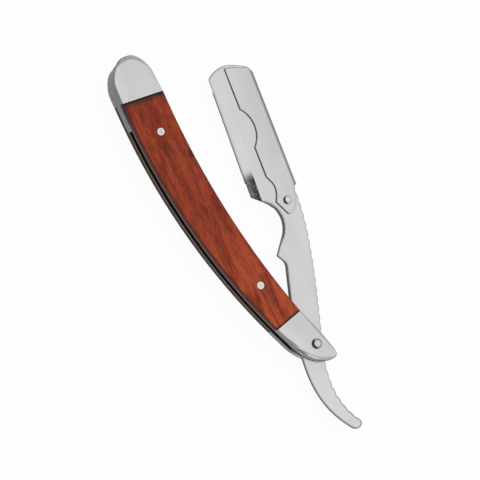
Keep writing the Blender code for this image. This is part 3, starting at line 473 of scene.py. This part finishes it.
def red_wood(name, side):
    """Oiled red hardwood: soft bands, short flecks and pores along the grain, a knot and dark blotches. Its
    walls are darker, partly in their own colour and partly as painted shade, darkest at the bottom, and so
    are its rims, its ends at the bolsters and the wood round its pins, the last as a painted shadow."""
    finish = Finish(name, WOOD_ROUGHNESS, 0.0)
    bands = finish.noise(finish.local(*GRAIN, BAND_SPANS), detail=3.0, distortion=0.6)
    flecks = finish.noise(finish.local(*GRAIN, FLECK_SPANS), detail=3.0, roughness=0.6, distortion=0.3)
    blotches = finish.noise(finish.local(*GRAIN, BLOTCH_SPANS), detail=3.0)
    pores = finish.noise(finish.local(*GRAIN, PORE_SPANS), detail=1.0)
    uneven = finish.minus(finish.noise(finish.local(spans=UNEVEN_SPANS)), NOISE_MIDDLE)
    x, _, z = finish.axes(finish.place)
    upright = finish.upright()

    colour = finish.mix(finish.rise(bands, *BAND_RANGE), DARK_BAND, RED_BAND)
    streaked = finish.times(finish.rise(x, *ORANGE_STARTS_X), finish.rise(bands, *ORANGE_RANGE))
    colour = finish.mix(streaked, colour, ORANGE_BAND)
    colour = finish.mix(finish.rise(flecks, *DARK_FLECK_RANGE, 0.0, DARK_FLECK_SHARE), colour, DARK_FLECK)
    colour = finish.mix(finish.fall(flecks, *PALE_FLECK_RANGE, PALE_FLECK_SHARE), colour, PALE_FLECK)
    colour = finish.mix(finish.rise(blotches, *BLOTCH_RANGE, 0.0, BLOTCH_SHARE), colour, BLOTCH)
    colour = finish.mix(finish.rise(pores, *PORE_RANGE, 0.0, PORE_SHARE), colour, PORE)
    for place, radii, darkness in WOOD_MARKS:
        mark = finish.within(place, radii, GRAIN_TURN, ragged=MARK_RAGGEDNESS)
        colour = finish.mix(finish.times(mark, darkness), colour, KNOT)

    # Darker along the hollow side's outline
    worn = finish.plus(finish.from_arc(BELLY_ARC), finish.times(uneven, HOLLOW_EDGE_UNEVENNESS))
    colour = finish.mix(finish.fall(worn, *HOLLOW_EDGE_DEPTH, HOLLOW_EDGE_SHARE), colour, HOLLOW_EDGE_DARK)
    # A darker strip along the bulging side, widest by the head
    inside = finish.minus(0.0, finish.from_arc(BACK_ARC))
    inside = finish.plus(inside, finish.times(uneven, BACK_EDGE_UNEVENNESS))
    back_edge = finish.sum("DIVIDE", inside, finish.rise(x, *BACK_EDGE_X, *BACK_EDGE_WIDTHS))
    colour = finish.mix(finish.fall(back_edge, *BACK_EDGE_REACH, BACK_EDGE_SHARE), colour, BACK_EDGE_DARK)
    # The walls: partly their own darker colour and partly painted shade, darkest at the bottom
    wall = finish.mix(finish.rise(z, *WALL_RANGE_Z), LOW_WALL, HIGH_WALL)
    colour = finish.mix(finish.fall(upright, *SIDE_TO_RIM, WALL_SHARE), colour, wall)
    if side == "front":
        # Black on the front scale's wall by the head
        black_wall = finish.fall(x, *FRONT_WALL_BLACK_ENDS_X, FRONT_WALL_BLACK_SHARE)
        colour = finish.mix(finish.times(black_wall, finish.fall(z, *FRONT_WALL_BLACK_ENDS_Z)), colour, FRONT_WALL_BLACK)
    for way, width in ((-1, HEAD_END_WIDTH), (1, PIVOT_END_WIDTH)):
        middle, normal = end_plane(f"{side}_wood_scale", way)
        depth = finish.dot(finish.vector("SUBTRACT", {0: finish.place, 1: middle}), -normal)
        depth = finish.plus(depth, finish.times(uneven, 2.0 * width))
        brown = finish.fall(depth, *(width * reach for reach in END_BROWN_REACH), END_BROWN_SHARE)
        colour = finish.mix(brown, colour, END_BROWN)
        black = finish.fall(depth, *(width * reach for reach in END_BLACK_REACH), END_BLACK_SHARE)
        colour = finish.mix(black, colour, END_BLACK)
    for height in ("upper", "lower"):
        middle, radius = middle_and_radius(f"{side}_{height}_scale_pin")
        ring = finish.within(middle, (PIN_SHADOW_REACH * radius,) * 2, softness=0.1)
        colour = finish.mix(finish.times(ring, PIN_SHADOW_STRENGTH), colour, PIN_SHADOW)

    finish.set(Base_Color=colour)
    finish.set(Specular_IOR_Level=finish.rise(upright, *SHEEN_UP, SHEEN_ON_WALLS, SHEEN_ON_FACES))
    finish.set(Roughness=finish.rise(flecks, *NOISE_RANGE, *FLECK_ROUGHNESS))
    finish.bump(finish.plus(flecks, finish.rise(pores, *PORE_RANGE, 0.0, -1.0)), WOOD_BUMP)
    return finish.material


# A liner's colours, each pair from the streaks' dark to their light
LINER_SPANS = (9 * MM, 0.14 * MM, 0.14 * MM)
LINER_ROUGHNESS = 0.4
LINER_STREAK_ROUGHNESS = (0.34, 0.52)
LINER_BUMP = 0.003 * MM
# Beside the wood, the brownish grey is a painted reflection of the wood
EDGE_STEEL = ((0.075, 0.056, 0.048, 1), (0.170, 0.130, 0.112, 1))
GROUND_STEEL = ((0.14, 0.144, 0.147, 1), (0.215, 0.22, 0.223, 1))
BRIGHT_STEEL = ((0.42, 0.42, 0.415, 1), (0.66, 0.66, 0.655, 1))
PAINTED_RIM_HIGHLIGHT = (0.40, 0.37, 0.33, 1)
WEDGE_BLACK = (0.012, 0.016, 0.013, 1)
SLOT_PAINTED_SHADE = (0.085, 0.060, 0.046, 1)
TANG_SIDE = (0.5, 0.5, 0.49, 1)

# A liner's rims carry a painted highlight, and its flat sides are what shows inside the slot, in painted shade
RIM_HIGHLIGHT_UP, RIM_HIGHLIGHT_SHARE = (0.2, 0.55), 0.9
SLOT_UP = (0.85, 0.98)
WEDGE_SHARE = 0.95

# Where they change: beside the wood, at the black wedge, under the pivot's bolster and by the tang
START_BLUR = 1 * MM
END_BLUR = 2 * MM
WEDGE_ENDS_X = (HEAD_SEAM_X + 6 * MM, HEAD_SEAM_X + 10 * MM)
BRIGHT_STARTS_X = (61 * MM, 62.5 * MM)
TANG_STARTS_X = (58 * MM, 61 * MM)


def liner_steel(name, start):
    """A liner: ground grey as far as it fills a bolster's side, brownish as a painted reflection of the wood
    and with a painted highlight along its rims where it runs beside the wood from its start on, and in
    painted shade inside the slot."""
    finish = Finish(name, LINER_ROUGHNESS)
    streaks = finish.noise(finish.local(*IN_HANDLE, LINER_SPANS), detail=3.0, roughness=0.6)
    grain = finish.rise(streaks, *NOISE_RANGE)
    upright = finish.upright()
    x = finish.axes(finish.place)[0]
    beside = finish.times(
        finish.rise(x, start - START_BLUR, start + START_BLUR),
        finish.fall(x, PIVOT_SEAM_X - END_BLUR, PIVOT_SEAM_X + END_BLUR),
    )
    # The rims' painted highlight
    worn = finish.rise(upright, *RIM_HIGHLIGHT_UP, 0.0, RIM_HIGHLIGHT_SHARE)
    edge = finish.mix(worn, finish.mix(grain, *EDGE_STEEL), PAINTED_RIM_HIGHLIGHT)
    bright = finish.mix(grain, *BRIGHT_STEEL)
    ground = finish.mix(finish.rise(x, *BRIGHT_STARTS_X), finish.mix(grain, *GROUND_STEEL), bright)
    colour = finish.mix(beside, ground, edge)
    wedge = finish.times(finish.fall(x, *WEDGE_ENDS_X, WEDGE_SHARE), beside)
    colour = finish.mix(wedge, colour, WEDGE_BLACK)
    # Painted shade inside the slot, lighter by the tang
    dark = finish.mix(finish.rise(x, *TANG_STARTS_X), SLOT_PAINTED_SHADE, TANG_SIDE)
    colour = finish.mix(finish.rise(upright, *SLOT_UP), colour, dark)
    finish.set(Base_Color=colour, Roughness=finish.rise(streaks, *NOISE_RANGE, *LINER_STREAK_ROUGHNESS))
    finish.bump(streaks, LINER_BUMP)
    return finish.material


BRASS_SPANS = (2 * MM, 2 * MM, 0.1 * MM)
BRASS_COLOURS = ((0.50, 0.33, 0.13, 1), (0.66, 0.48, 0.22, 1))
BRASS_ROUGHNESS = 0.35
RING_ROUGHNESS = (0.28, 0.42)


def brass(name):
    """Brass turned about the pivot, which leaves faint rings."""
    finish = Finish(name, BRASS_ROUGHNESS)
    rings = finish.noise(finish.local(PIVOT, 0.0, BRASS_SPANS), detail=3.0)
    finish.set(Base_Color=finish.mix(rings, *BRASS_COLOURS))
    finish.set(Roughness=finish.rise(rings, *NOISE_RANGE, *RING_ROUGHNESS))
    return finish.material


def link(name, data):
    made = bpy.data.objects.new(name, data)
    bpy.context.scene.collection.objects.link(made)
    return made


def make_camera():
    """A long lens, so that the razor shows as flat as in the photograph."""
    toward = VIEW_TOWARD.normalized()
    right = (VIEW_RIGHT - VIEW_RIGHT.dot(toward) * toward).normalized()
    up = toward.cross(right)
    front = Vector((PIVOT.x, PIVOT.y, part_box("front_pivot_bolster")[1].z))
    half = PHOTO_SIZE / 2
    aside, above = PIVOT_PIXEL[0] - half, half - PIVOT_PIXEL[1]
    centre = front - (right * aside + up * above) * MM / PIXELS_PER_MM
    data = bpy.data.cameras.new("camera")
    data.lens = data.sensor_width * CAMERA_DISTANCE / (PHOTO_SIZE * MM / PIXELS_PER_MM)
    data.clip_end = 2 * FLOOR_SIZE
    camera = link("camera", data)
    turned = Matrix((right, up, toward)).transposed().to_4x4()
    camera.matrix_world = Matrix.Translation(centre + toward * CAMERA_DISTANCE) @ turned
    bpy.context.scene.camera = camera


def seen_by_metal(tree):
    """1 for the rays of the camera, of reflections and of what shows through."""
    path = tree.nodes.new("ShaderNodeLightPath")
    outputs = [path.outputs[name] for name in ("Is Camera Ray", "Is Glossy Ray", "Is Transmission Ray")]
    share = outputs[0]
    for other in outputs[1:]:
        larger = tree.nodes.new("ShaderNodeMath")
        larger.operation = "MAXIMUM"
        tree.links.new(share, larger.inputs[0])
        tree.links.new(other, larger.inputs[1])
        share = larger.outputs[0]
    return share


def blend_shaders(tree, share, first, second):
    made = tree.nodes.new("ShaderNodeMixShader")
    if isinstance(share, float):
        made.inputs[0].default_value = share
    else:
        tree.links.new(share, made.inputs[0])
    tree.links.new(first, made.inputs[1])
    tree.links.new(second, made.inputs[2])
    return made.outputs[0]


def make_world():
    """Plain light all round, which the camera, metal and glass see as white."""
    world = bpy.data.worlds.new("studio")
    bpy.context.scene.world = world
    world.use_nodes = True
    tree = world.node_tree
    light, white = tree.nodes["Background"], tree.nodes.new("ShaderNodeBackground")
    light.inputs["Color"].default_value = WHITE
    light.inputs["Strength"].default_value = WORLD_STRENGTH
    white.inputs["Color"].default_value = WHITE
    white.inputs["Strength"].default_value = 1.0
    shown = blend_shaders(tree, seen_by_metal(tree), light.outputs[0], white.outputs[0])
    tree.links.new(shown, tree.nodes["World Output"].inputs["Surface"])


def make_floor():
    """A pale floor that shows nearly white and keeps a faint shadow."""
    half = FLOOR_SIZE / 2
    corners = [(-half, -half), (half, -half), (half, half), (-half, half)]
    data = bpy.data.meshes.new("floor")
    data.from_pydata([(x, y, -FLOOR_DROP) for x, y in corners], [], [(0, 1, 2, 3)])
    material = bpy.data.materials.new("pale_floor")
    material.use_nodes = True
    tree = material.node_tree
    tree.nodes.remove(tree.nodes["Principled BSDF"])
    pale, glow = tree.nodes.new("ShaderNodeBsdfDiffuse"), tree.nodes.new("ShaderNodeEmission")
    pale.inputs["Color"].default_value = FLOOR_COLOUR
    lit = blend_shaders(tree, FLOOR_GLOW_SHARE, pale.outputs[0], glow.outputs[0])
    shown = blend_shaders(tree, seen_by_metal(tree), pale.outputs[0], lit)
    tree.links.new(shown, tree.nodes["Material Output"].inputs["Surface"])
    data.materials.append(material)
    link("floor", data)


def make_lamp():
    data = bpy.data.lights.new("soft_lamp", "AREA")
    data.shape = "DISK"
    data.size = LAMP_SIZE
    data.energy = LAMP_POWER
    lamp = link("soft_lamp", data)
    lamp.visible_glossy = False
    lamp.location = LAMP_PLACE
    lamp.rotation_mode = "QUATERNION"
    lamp.rotation_quaternion = LAMP_PLACE.to_track_quat("Z", "Y")


def in_arm(finish):
    """A place along the arm and across it from its pivot, and above the pivot's middle."""
    return finish.axes(finish.local(*IN_ARM))


# The painted dark reflection on the bevel by the heel
BEVEL_UP = (0.86, 0.9)
PATCH_STARTS_A = (-73.0 * MM, -67.0 * MM)
PATCH_ENDS_A = (-58.2 * MM, -57.8 * MM)
PATCH_ENDS_B = (EDGE_B + 3.3 * MM, EDGE_B + 3.8 * MM)
PATCH_DARKENS_B = (EDGE_B + 0.3 * MM, EDGE_B + 3.2 * MM)
PATCH_STREAK_TURN = 0.5
PATCH_STREAK_SPANS = (0.4 * MM, 2.0 * MM, 1 * MM)
PATCH_STREAK_SHARES = (0.68, 1.0)
PATCH_SHARES = (0.8, 1.04)
PATCH_TONE = 0.02


def heel_dark_reflection(finish, lightness):
    """The painted dark reflection on the bevel by the heel: streaked across the edge, darkest at the ridge."""
    a, b = in_arm(finish)[:2]
    streaks = finish.local(PIVOT, -OPEN_ANGLE + PATCH_STREAK_TURN, PATCH_STREAK_SPANS)
    streaks = finish.noise(streaks, detail=3.0, roughness=0.7)
    streaked = finish.rise(streaks, *NOISE_RANGE, *PATCH_STREAK_SHARES)
    patch = finish.times(finish.rise(a, *PATCH_STARTS_A), streaked, finish.fall(b, *PATCH_ENDS_B))
    patch = finish.times(patch, finish.rise(b, *PATCH_DARKENS_B, *PATCH_SHARES))
    patch = finish.times(patch, finish.rise(finish.up(), *BEVEL_UP), finish.fall(a, *PATCH_ENDS_A))
    return finish.scaled(lightness, patch, PATCH_TONE)


# The arm: painted light on its faces and cutting edge, and where its tail and recess have outlines of painted
# shade
BEVEL_ONLY_UP = (0.99, 0.998)
BEVEL_TONE = 1.04
TAIL_STARTS_A = (4 * MM, 20 * MM)
TAIL_TONE = 1.05
EDGE_WALL_B = (EDGE_B + 0.05 * MM, EDGE_B + 0.15 * MM)
EDGE_WALL_ENDS_A = (-62.0 * MM, -61.5 * MM)
EDGE_WALL_TONE = 1.5
TAIL_LINE = 1.2 * MM
TAIL_LINE_STARTS_A = (2 * MM, 38 * MM)
TAIL_LINE_TONE = 0.45
RECESS_LINE = 1.8 * MM
RECESS_STARTS_A = (-62 * MM, -51 * MM)
RECESS_ENDS_A = (-45 * MM, -38 * MM)
SPUR_STARTS_A = (-36 * MM, -32 * MM)
SPUR_ENDS_A = (-20 * MM, -8 * MM)
SPUR_SHARE = 0.8
RECESS_ENDS_B = (6.5 * MM, 8.0 * MM)
RECESS_TONE = 0.05


def arm_shading(finish, lightness):
    """The bevel and the tail are painted a little lighter than the flat, and the wall along the cutting edge
    a little less dark. The outline of painted shade is darker round the tail's end and darkest at the recess
    and behind the spur."""
    a, b = in_arm(finish)[:2]
    up = finish.up()
    top = finish.rise(up, *TOP)
    # Painted light: the bevel and the tail a little lighter
    bevel = finish.times(finish.fall(up, *BEVEL_ONLY_UP), finish.rise(up, *BEVEL_UP))
    lightness = finish.scaled(lightness, bevel, BEVEL_TONE)
    lightness = finish.scaled(lightness, finish.rise(a, *TAIL_STARTS_A), TAIL_TONE)
    # The cutting edge's wall: its painted dark made lighter
    ground = finish.times(finish.fall(b, *EDGE_WALL_B), finish.fall(a, *EDGE_WALL_ENDS_A))
    lightness = finish.scaled(lightness, ground, EDGE_WALL_TONE)
    # Outlines of painted shade round the tail's end, at the recess and behind the spur
    tail = finish.times(finish.edges(TAIL_LINE), finish.rise(a, *TAIL_LINE_STARTS_A), top)
    lightness = finish.scaled(lightness, tail, TAIL_LINE_TONE)
    recess = finish.times(finish.rise(a, *RECESS_STARTS_A), finish.fall(a, *RECESS_ENDS_A))
    spur = finish.times(finish.rise(a, *SPUR_STARTS_A), finish.fall(a, *SPUR_ENDS_A, SPUR_SHARE))
    under = finish.times(finish.plus(recess, spur), finish.fall(b, *RECESS_ENDS_B))
    return finish.scaled(lightness, finish.times(finish.edges(RECESS_LINE), top, under), RECESS_TONE)


# The cover's painted shade: the waved edge's line, the fold along the spine, and the flange's darker side towards
# the nose
WAVE_LINE = 0.75 * MM
WAVE_ENDS_B = (EDGE_B + 12.0 * MM, EDGE_B + 12.8 * MM)
WAVE_DARKENS_A = (-109.0 * MM, -96.0 * MM)
WAVE_SHARES = (0.6, 1.0)
WAVE_TONE = 0.1
FRONT_Z = (0.3 * MM, 0.6 * MM)
FOLD_DEPTH = (0.5 * MM, 1.8 * MM)
FOLD_Z = (0.3 * MM, 0.9 * MM)
FOLD_TONE = 0.46
AWAY_STARTS_B = (4.5 * MM, 13.5 * MM)
AWAY_FADES_A = (-76 * MM, -70 * MM)
AWAY_SHARES = (1.0, 0.35)
AWAY_TONE = 0.92


def cover_shading(finish, lightness):
    """Painted shade: the dark line of the cover's waved edge, which thins out towards the nose, its darker fold
    and the flange's darker side towards the nose.
    """
    a, b, z = in_arm(finish)
    waved = finish.times(finish.fall(b, *WAVE_ENDS_B), finish.rise(a, *WAVE_DARKENS_A, *WAVE_SHARES))
    front = finish.times(finish.rise(finish.up(), *TOP), finish.rise(z, *FRONT_Z))
    lightness = finish.scaled(lightness, finish.times(finish.edges(WAVE_LINE), waved, front), WAVE_TONE)
    inside = finish.minus(finish.plus(finish.times(a, SPINE_SLOPE), SPINE_B), b)
    fold = finish.times(finish.fall(inside, *FOLD_DEPTH), finish.rise(z, *FOLD_Z))
    lightness = finish.scaled(lightness, fold, FOLD_TONE)
    away = finish.times(finish.rise(b, *AWAY_STARTS_B), finish.rise(a, *AWAY_FADES_A, *AWAY_SHARES))
    return finish.scaled(lightness, away, AWAY_TONE)


def around_pivot(finish):
    """A direction from the pivot's axis and how far from it, seen from above."""
    offset = finish.vector("SUBTRACT", {0: finish.place, 1: PIVOT})
    flat = finish.vector("MULTIPLY", {0: offset, 1: (1, 1, 0)})
    return finish.vector("NORMALIZE", {0: flat}), finish.vector("LENGTH", {0: flat}, "Value")


# The collar's and the domes' tones. Each comes in over a range of how much a face looks some way, or up.
COLLAR_DARK, COLLAR_DARK_TONE = (-0.1, 0.75), 0.12
COLLAR_WALL, COLLAR_WALL_TONE = (0.3, 0.9), 0.4
DOME_DARK, DOME_DARK_TONE = (-0.1, 0.5), 0.1
DOME_RIM, DOME_RIM_TONE = (0.80, 0.97), 0.62
DOME_SPOT, DOME_SPOT_TONE = (0.982, 0.998), 1.5


def collar_shading(finish, lightness):
    """The collar's painted reflection of the dark on one side, as in the photograph, and its walls painted
    darker as shade.
    """
    way = around_pivot(finish)[0]
    dark = finish.rise(finish.dot(way, DARK_SIDE), *COLLAR_DARK)
    lightness = finish.scaled(lightness, dark, COLLAR_DARK_TONE)
    return finish.scaled(lightness, finish.fall(finish.upright(), *COLLAR_WALL), COLLAR_WALL_TONE)


def dome_shading(finish, lightness):
    """A polished dome's dark side, grey rim and bright spot, painted on as the photograph shows them."""
    dark = finish.rise(finish.facing(DARK_SIDE), *DOME_DARK)
    lightness = finish.scaled(lightness, dark, DOME_DARK_TONE)
    lightness = finish.scaled(lightness, finish.fall(finish.upright(), *DOME_RIM), DOME_RIM_TONE)
    return finish.scaled(lightness, finish.rise(finish.facing(BRIGHT_SPOT), *DOME_SPOT), DOME_SPOT_TONE)


# Faint rings turned into the pivot's end: the inner one starts and ends, the outer one reaches the rim
INNER_RING_STARTS, INNER_RING_ENDS = (0.42 * MM, 0.58 * MM), (0.62 * MM, 0.8 * MM)
INNER_RING_TONE = 0.8
OUTER_RING_STARTS = (1.15 * MM, 1.42 * MM)
OUTER_RING_TONE = 0.3


def turned_rings(finish, lightness):
    """The faint rings on the pivot's end."""
    away = around_pivot(finish)[1]
    inner = finish.times(finish.rise(away, *INNER_RING_STARTS), finish.fall(away, *INNER_RING_ENDS))
    lightness = finish.scaled(lightness, inner, INNER_RING_TONE)
    return finish.scaled(lightness, finish.rise(away, *OUTER_RING_STARTS), OUTER_RING_TONE)


# A scale pin's centre: its radius as a share of the pin's, its edge, and its tone on each pin
PIN_CENTRE_SHARE = 0.6
PIN_CENTRE_EDGE = {"ragged": 0.8, "softness": 0.7}
PIN_CENTRE_TONES = {"upper": 0.86, "lower": 0.92}


def pin_centres(finish, lightness):
    """The faint centre of each scale pin's head."""
    for side in ("back", "front"):
        for height, tone in PIN_CENTRE_TONES.items():
            middle, radius = middle_and_radius(f"{side}_{height}_scale_pin")
            centre = finish.within(middle, (PIN_CENTRE_SHARE * radius,) * 2, **PIN_CENTRE_EDGE)
            lightness = finish.scaled(lightness, centre, tone)
    return lightness


# The head: where its face and rim take painted light and shade and how much, and the pits by the seam
LIGHT_SIDE_Y = (-2 * MM, 9 * MM)
LIGHT_SIDE_TONE = 1.07
HEAD_RIM_UP = (0.5, 0.8)
HOLLOW_X = (-68 * MM, -60 * MM)
HOLLOW_RIM_TONE = 1.34
OUTLINE_STARTS_UP, OUTLINE_ENDS_UP = (0.35, 0.55), (0.70, 0.90)
OUTLINE_TONE = 0.78
CORNER_Y = (5.0 * MM, 8.0 * MM)
CORNER_X = (-69.5 * MM, -67.5 * MM)
CORNER_TONE = 1.25
CROWN_X = (-68 * MM, -62 * MM)
CROWN_TONE = 0.88
PITS = ((-56.9 * MM, 2.6 * MM), (-57.6 * MM, 3.2 * MM), (-56.6 * MM, 4.0 * MM), (-56.4 * MM, 1.6 * MM))
PIT_RADII = (0.24 * MM, 0.24 * MM)
PIT_TONE = 0.62


def head_shading(finish, lightness):
    """The head's face is painted lighter towards the bulging side. Its rim carries painted shade and
    reflection: darkest at the outline, and on the hollow side as light as the face. A few dark pits lie by
    the seam."""
    x, y = finish.axes(finish.place)[:2]
    upright = finish.upright()
    lightness = finish.scaled(lightness, finish.fall(y, *LIGHT_SIDE_Y), LIGHT_SIDE_TONE)
    rim = finish.times(finish.fall(upright, *RIM_TO_FACE), finish.rise(upright, *HEAD_RIM_UP))
    hollow = finish.rise(x, *HOLLOW_X)
    lightness = finish.scaled(lightness, finish.times(rim, hollow), HOLLOW_RIM_TONE)
    outer = finish.times(finish.fall(upright, *OUTLINE_ENDS_UP), finish.rise(upright, *OUTLINE_STARTS_UP))
    lightness = finish.scaled(lightness, finish.times(outer, hollow), OUTLINE_TONE)
    corner = finish.times(finish.fall(y, *CORNER_Y), finish.fall(x, *CORNER_X))
    corner = finish.times(corner, finish.rise(upright, *OFF_WALL))
    lightness = finish.scaled(lightness, corner, CORNER_TONE)
    crown = finish.times(rim, finish.rise(y, *CORNER_Y), finish.fall(x, *CROWN_X))
    lightness = finish.scaled(lightness, crown, CROWN_TONE)
    for place in PITS:
        lightness = finish.scaled(lightness, finish.within(place, PIT_RADII, softness=0.5), PIT_TONE)
    return lightness


# The pivot's end: where its rim, its face by the bulging side and its hollow side take painted light and shade,
# how much
INNER_RIM_UP = (0.90, 0.97)
INNER_RIM_ENDS_X = (62 * MM, 69 * MM)
INNER_RIM_TONE = 1.35
OUTER_RIM_UP = (0.80, 0.95)
OUTER_RIM_ENDS_X = (58 * MM, 67 * MM)
OUTER_RIM_TONE = 0.42
LIT_UP = (0.6, 0.95)
LIT_STARTS_X = (62.5 * MM, 64.5 * MM)
LIT_ENDS_X = (66.5 * MM, 69 * MM)
LIT_TONE = 1.7
SIDE_WIDENS_X = (51 * MM, 59 * MM)
SIDE_WIDTHS = (0.4 * MM, 0.95 * MM)
SIDE_REACH = (0.9, 1.15)
SIDE_ENDS_X = (60 * MM, 64 * MM)
SIDE_TONE = 0.36
LIGHT_FACE_DEPTH = (1.5 * MM, 6 * MM)
LIGHT_FACE_TONE = 1.08
HOLLOW_LINE_DEPTH = (0.25 * MM, 0.7 * MM)
HOLLOW_LINE_TONE = 0.72


def tip_shading(finish, lightness):
    """Painted light and shade: the rim under the pivot is darker towards the slot and goes on narrower along
    the bulging side, and the face beside it is light. A thin dark line of painted shade follows the hollow
    side."""
    x = finish.axes(finish.place)[0]
    upright = finish.upright()
    sloping = finish.times(finish.fall(upright, *RIM_TO_FACE), finish.rise(upright, *OFF_WALL))
    inner = finish.times(sloping, finish.rise(upright, *INNER_RIM_UP), finish.fall(x, *INNER_RIM_ENDS_X))
    lightness = finish.scaled(lightness, inner, INNER_RIM_TONE)
    outer = finish.times(sloping, finish.fall(x, *OUTER_RIM_ENDS_X), finish.fall(upright, *OUTER_RIM_UP))
    lightness = finish.scaled(lightness, outer, OUTER_RIM_TONE)
    lit = finish.times(finish.rise(x, *LIT_STARTS_X), finish.fall(x, *LIT_ENDS_X))
    lightness = finish.scaled(lightness, finish.times(lit, finish.fall(upright, *LIT_UP)), LIT_TONE)
    inside = finish.minus(0.0, finish.from_arc(BACK_ARC))
    reach = finish.sum("DIVIDE", inside, finish.rise(x, *SIDE_WIDENS_X, *SIDE_WIDTHS))
    level = finish.times(finish.rise(upright, *RIM_TO_FACE), finish.fall(x, *SIDE_ENDS_X))
    side = finish.times(finish.fall(reach, *SIDE_REACH), level)
    lightness = finish.scaled(lightness, side, SIDE_TONE)
    lightness = finish.scaled(lightness, finish.fall(inside, *LIGHT_FACE_DEPTH), LIGHT_FACE_TONE)
    line = finish.fall(finish.from_arc(BELLY_ARC), *HOLLOW_LINE_DEPTH)
    return finish.scaled(lightness, line, HOLLOW_LINE_TONE)


# Each steel's tones: the lightness of its faces, its rims and its side walls
# The darker rims and side walls are painted shade and painted reflection.
BOLSTER_TONES = (0.59, 0.41, 0.165)
HEAD_TONES = (0.60, 0.42, 0.148)
ARM_TONES = (0.625, 0.36, 0.055)
COVER_TONES = (0.615, 0.30, 0.04)
BLADE_TONES = (0.45, 0.35, 0.22)
PIN_TONES = (0.74, 0.45, 0.3)
PIVOT_END_TONES = (0.62, 0.35, 0.2)
COLLAR_TONES = (0.56, 0.36, 0.12)
DOME_TONES = (0.60, 0.50, 0.12)
# The spacer shows only at its walls, so all of it takes a wall's painted dark.
SPACER_TONES = (0.155, 0.155, 0.16)

# How strong the scores on a steel's side walls are, where they aren't plain
ROUGHLY_SCORED = 1.5
FINELY_SCORED = 0.3

# How wide and how dark a steel's outlines of painted shade are
ARM_LINE = (1.0 * MM, 0.6)
COVER_LINE = (0.8 * MM, 0.75)
COLLAR_LINE = (0.5 * MM, 0.35)

# A little more or less of red, green and blue in some steels
HEAD_TINT = (0.995, 0.998, 1.003)
ARM_TINT = (1.0, 0.994, 0.998)
PIN_TINT = (0.99, 1.01, 0.96)
SPACER_TINT = (0.985, 1.0, 1.015)


def make_pieces():
    """Every shown piece with its finish."""
    bolsters = steel("bolster_steel", IN_HANDLE, BOLSTER_TONES, marks=(tip_shading,))
    heads = steel(
        "head_steel", IN_HANDLE, HEAD_TONES, HEAD_TINT, scored=ROUGHLY_SCORED, marks=(head_shading,)
    )
    arm = steel(
        "arm_steel", IN_ARM, ARM_TONES, ARM_TINT, BEVEL_TO_FACE, ARM_LINE,
        marks=(arm_shading, heel_dark_reflection),
    )
    cover = steel("cover_steel", IN_ARM, COVER_TONES, line=COVER_LINE, marks=(cover_shading,))
    blade = steel("blade_steel", IN_ARM, BLADE_TONES, scored=FINELY_SCORED)
    pins = steel("pin_steel", IN_HANDLE, PIN_TONES, PIN_TINT, marks=(pin_centres,))
    ends = steel("pivot_end_steel", IN_HANDLE, PIVOT_END_TONES, marks=(turned_rings,))
    collar = steel("collar_steel", IN_HANDLE, COLLAR_TONES, line=COLLAR_LINE, marks=(collar_shading,))
    domes = steel("holder_rivet_steel", IN_HANDLE, DOME_TONES, flat=BEVEL_TO_FACE, marks=(dome_shading,))
    spacer = steel("spacer_steel", IN_HANDLE, SPACER_TONES, SPACER_TINT, scored=ROUGHLY_SCORED)
    washers = brass("turned_brass")
    for side, start in (("back", SLOT_START_X), ("front", HEAD_SEAM_X)):
        dress(f"{side}_wood_scale", red_wood(f"{side}_red_wood", side))
        dress(f"{side}_head_bolster", heads, reshape=ease_head)
        dress(f"{side}_pivot_bolster", bolsters)
        dress(f"{side}_liner", liner_steel(f"{side}_liner_steel", start), LINER_RIM, reshape=ease_head)
        finish_node(f"{side}_pivot_washer", washers)
        for height in ("upper", "lower"):
            dress(f"{side}_{height}_scale_pin", pins, PIN_RIM)
    dress("head_spacer", spacer, reshape=ease_head)
    dress("pivot_rivet", ends)
    dress("pivot_collar", collar)
    dress("arm_plate", arm)
    dress("half_blade", blade)
    dress("holder_cover", cover, reshape=fill_nose)
    dress("holder_rivet", domes)
    for number in (1, 2):
        finish_node(f"spacer_dowel_{number}", pins)


bpy.context.scene.view_settings.view_transform = "Standard"
make_camera()
make_world()
make_floor()
make_lamp()
make_pieces()
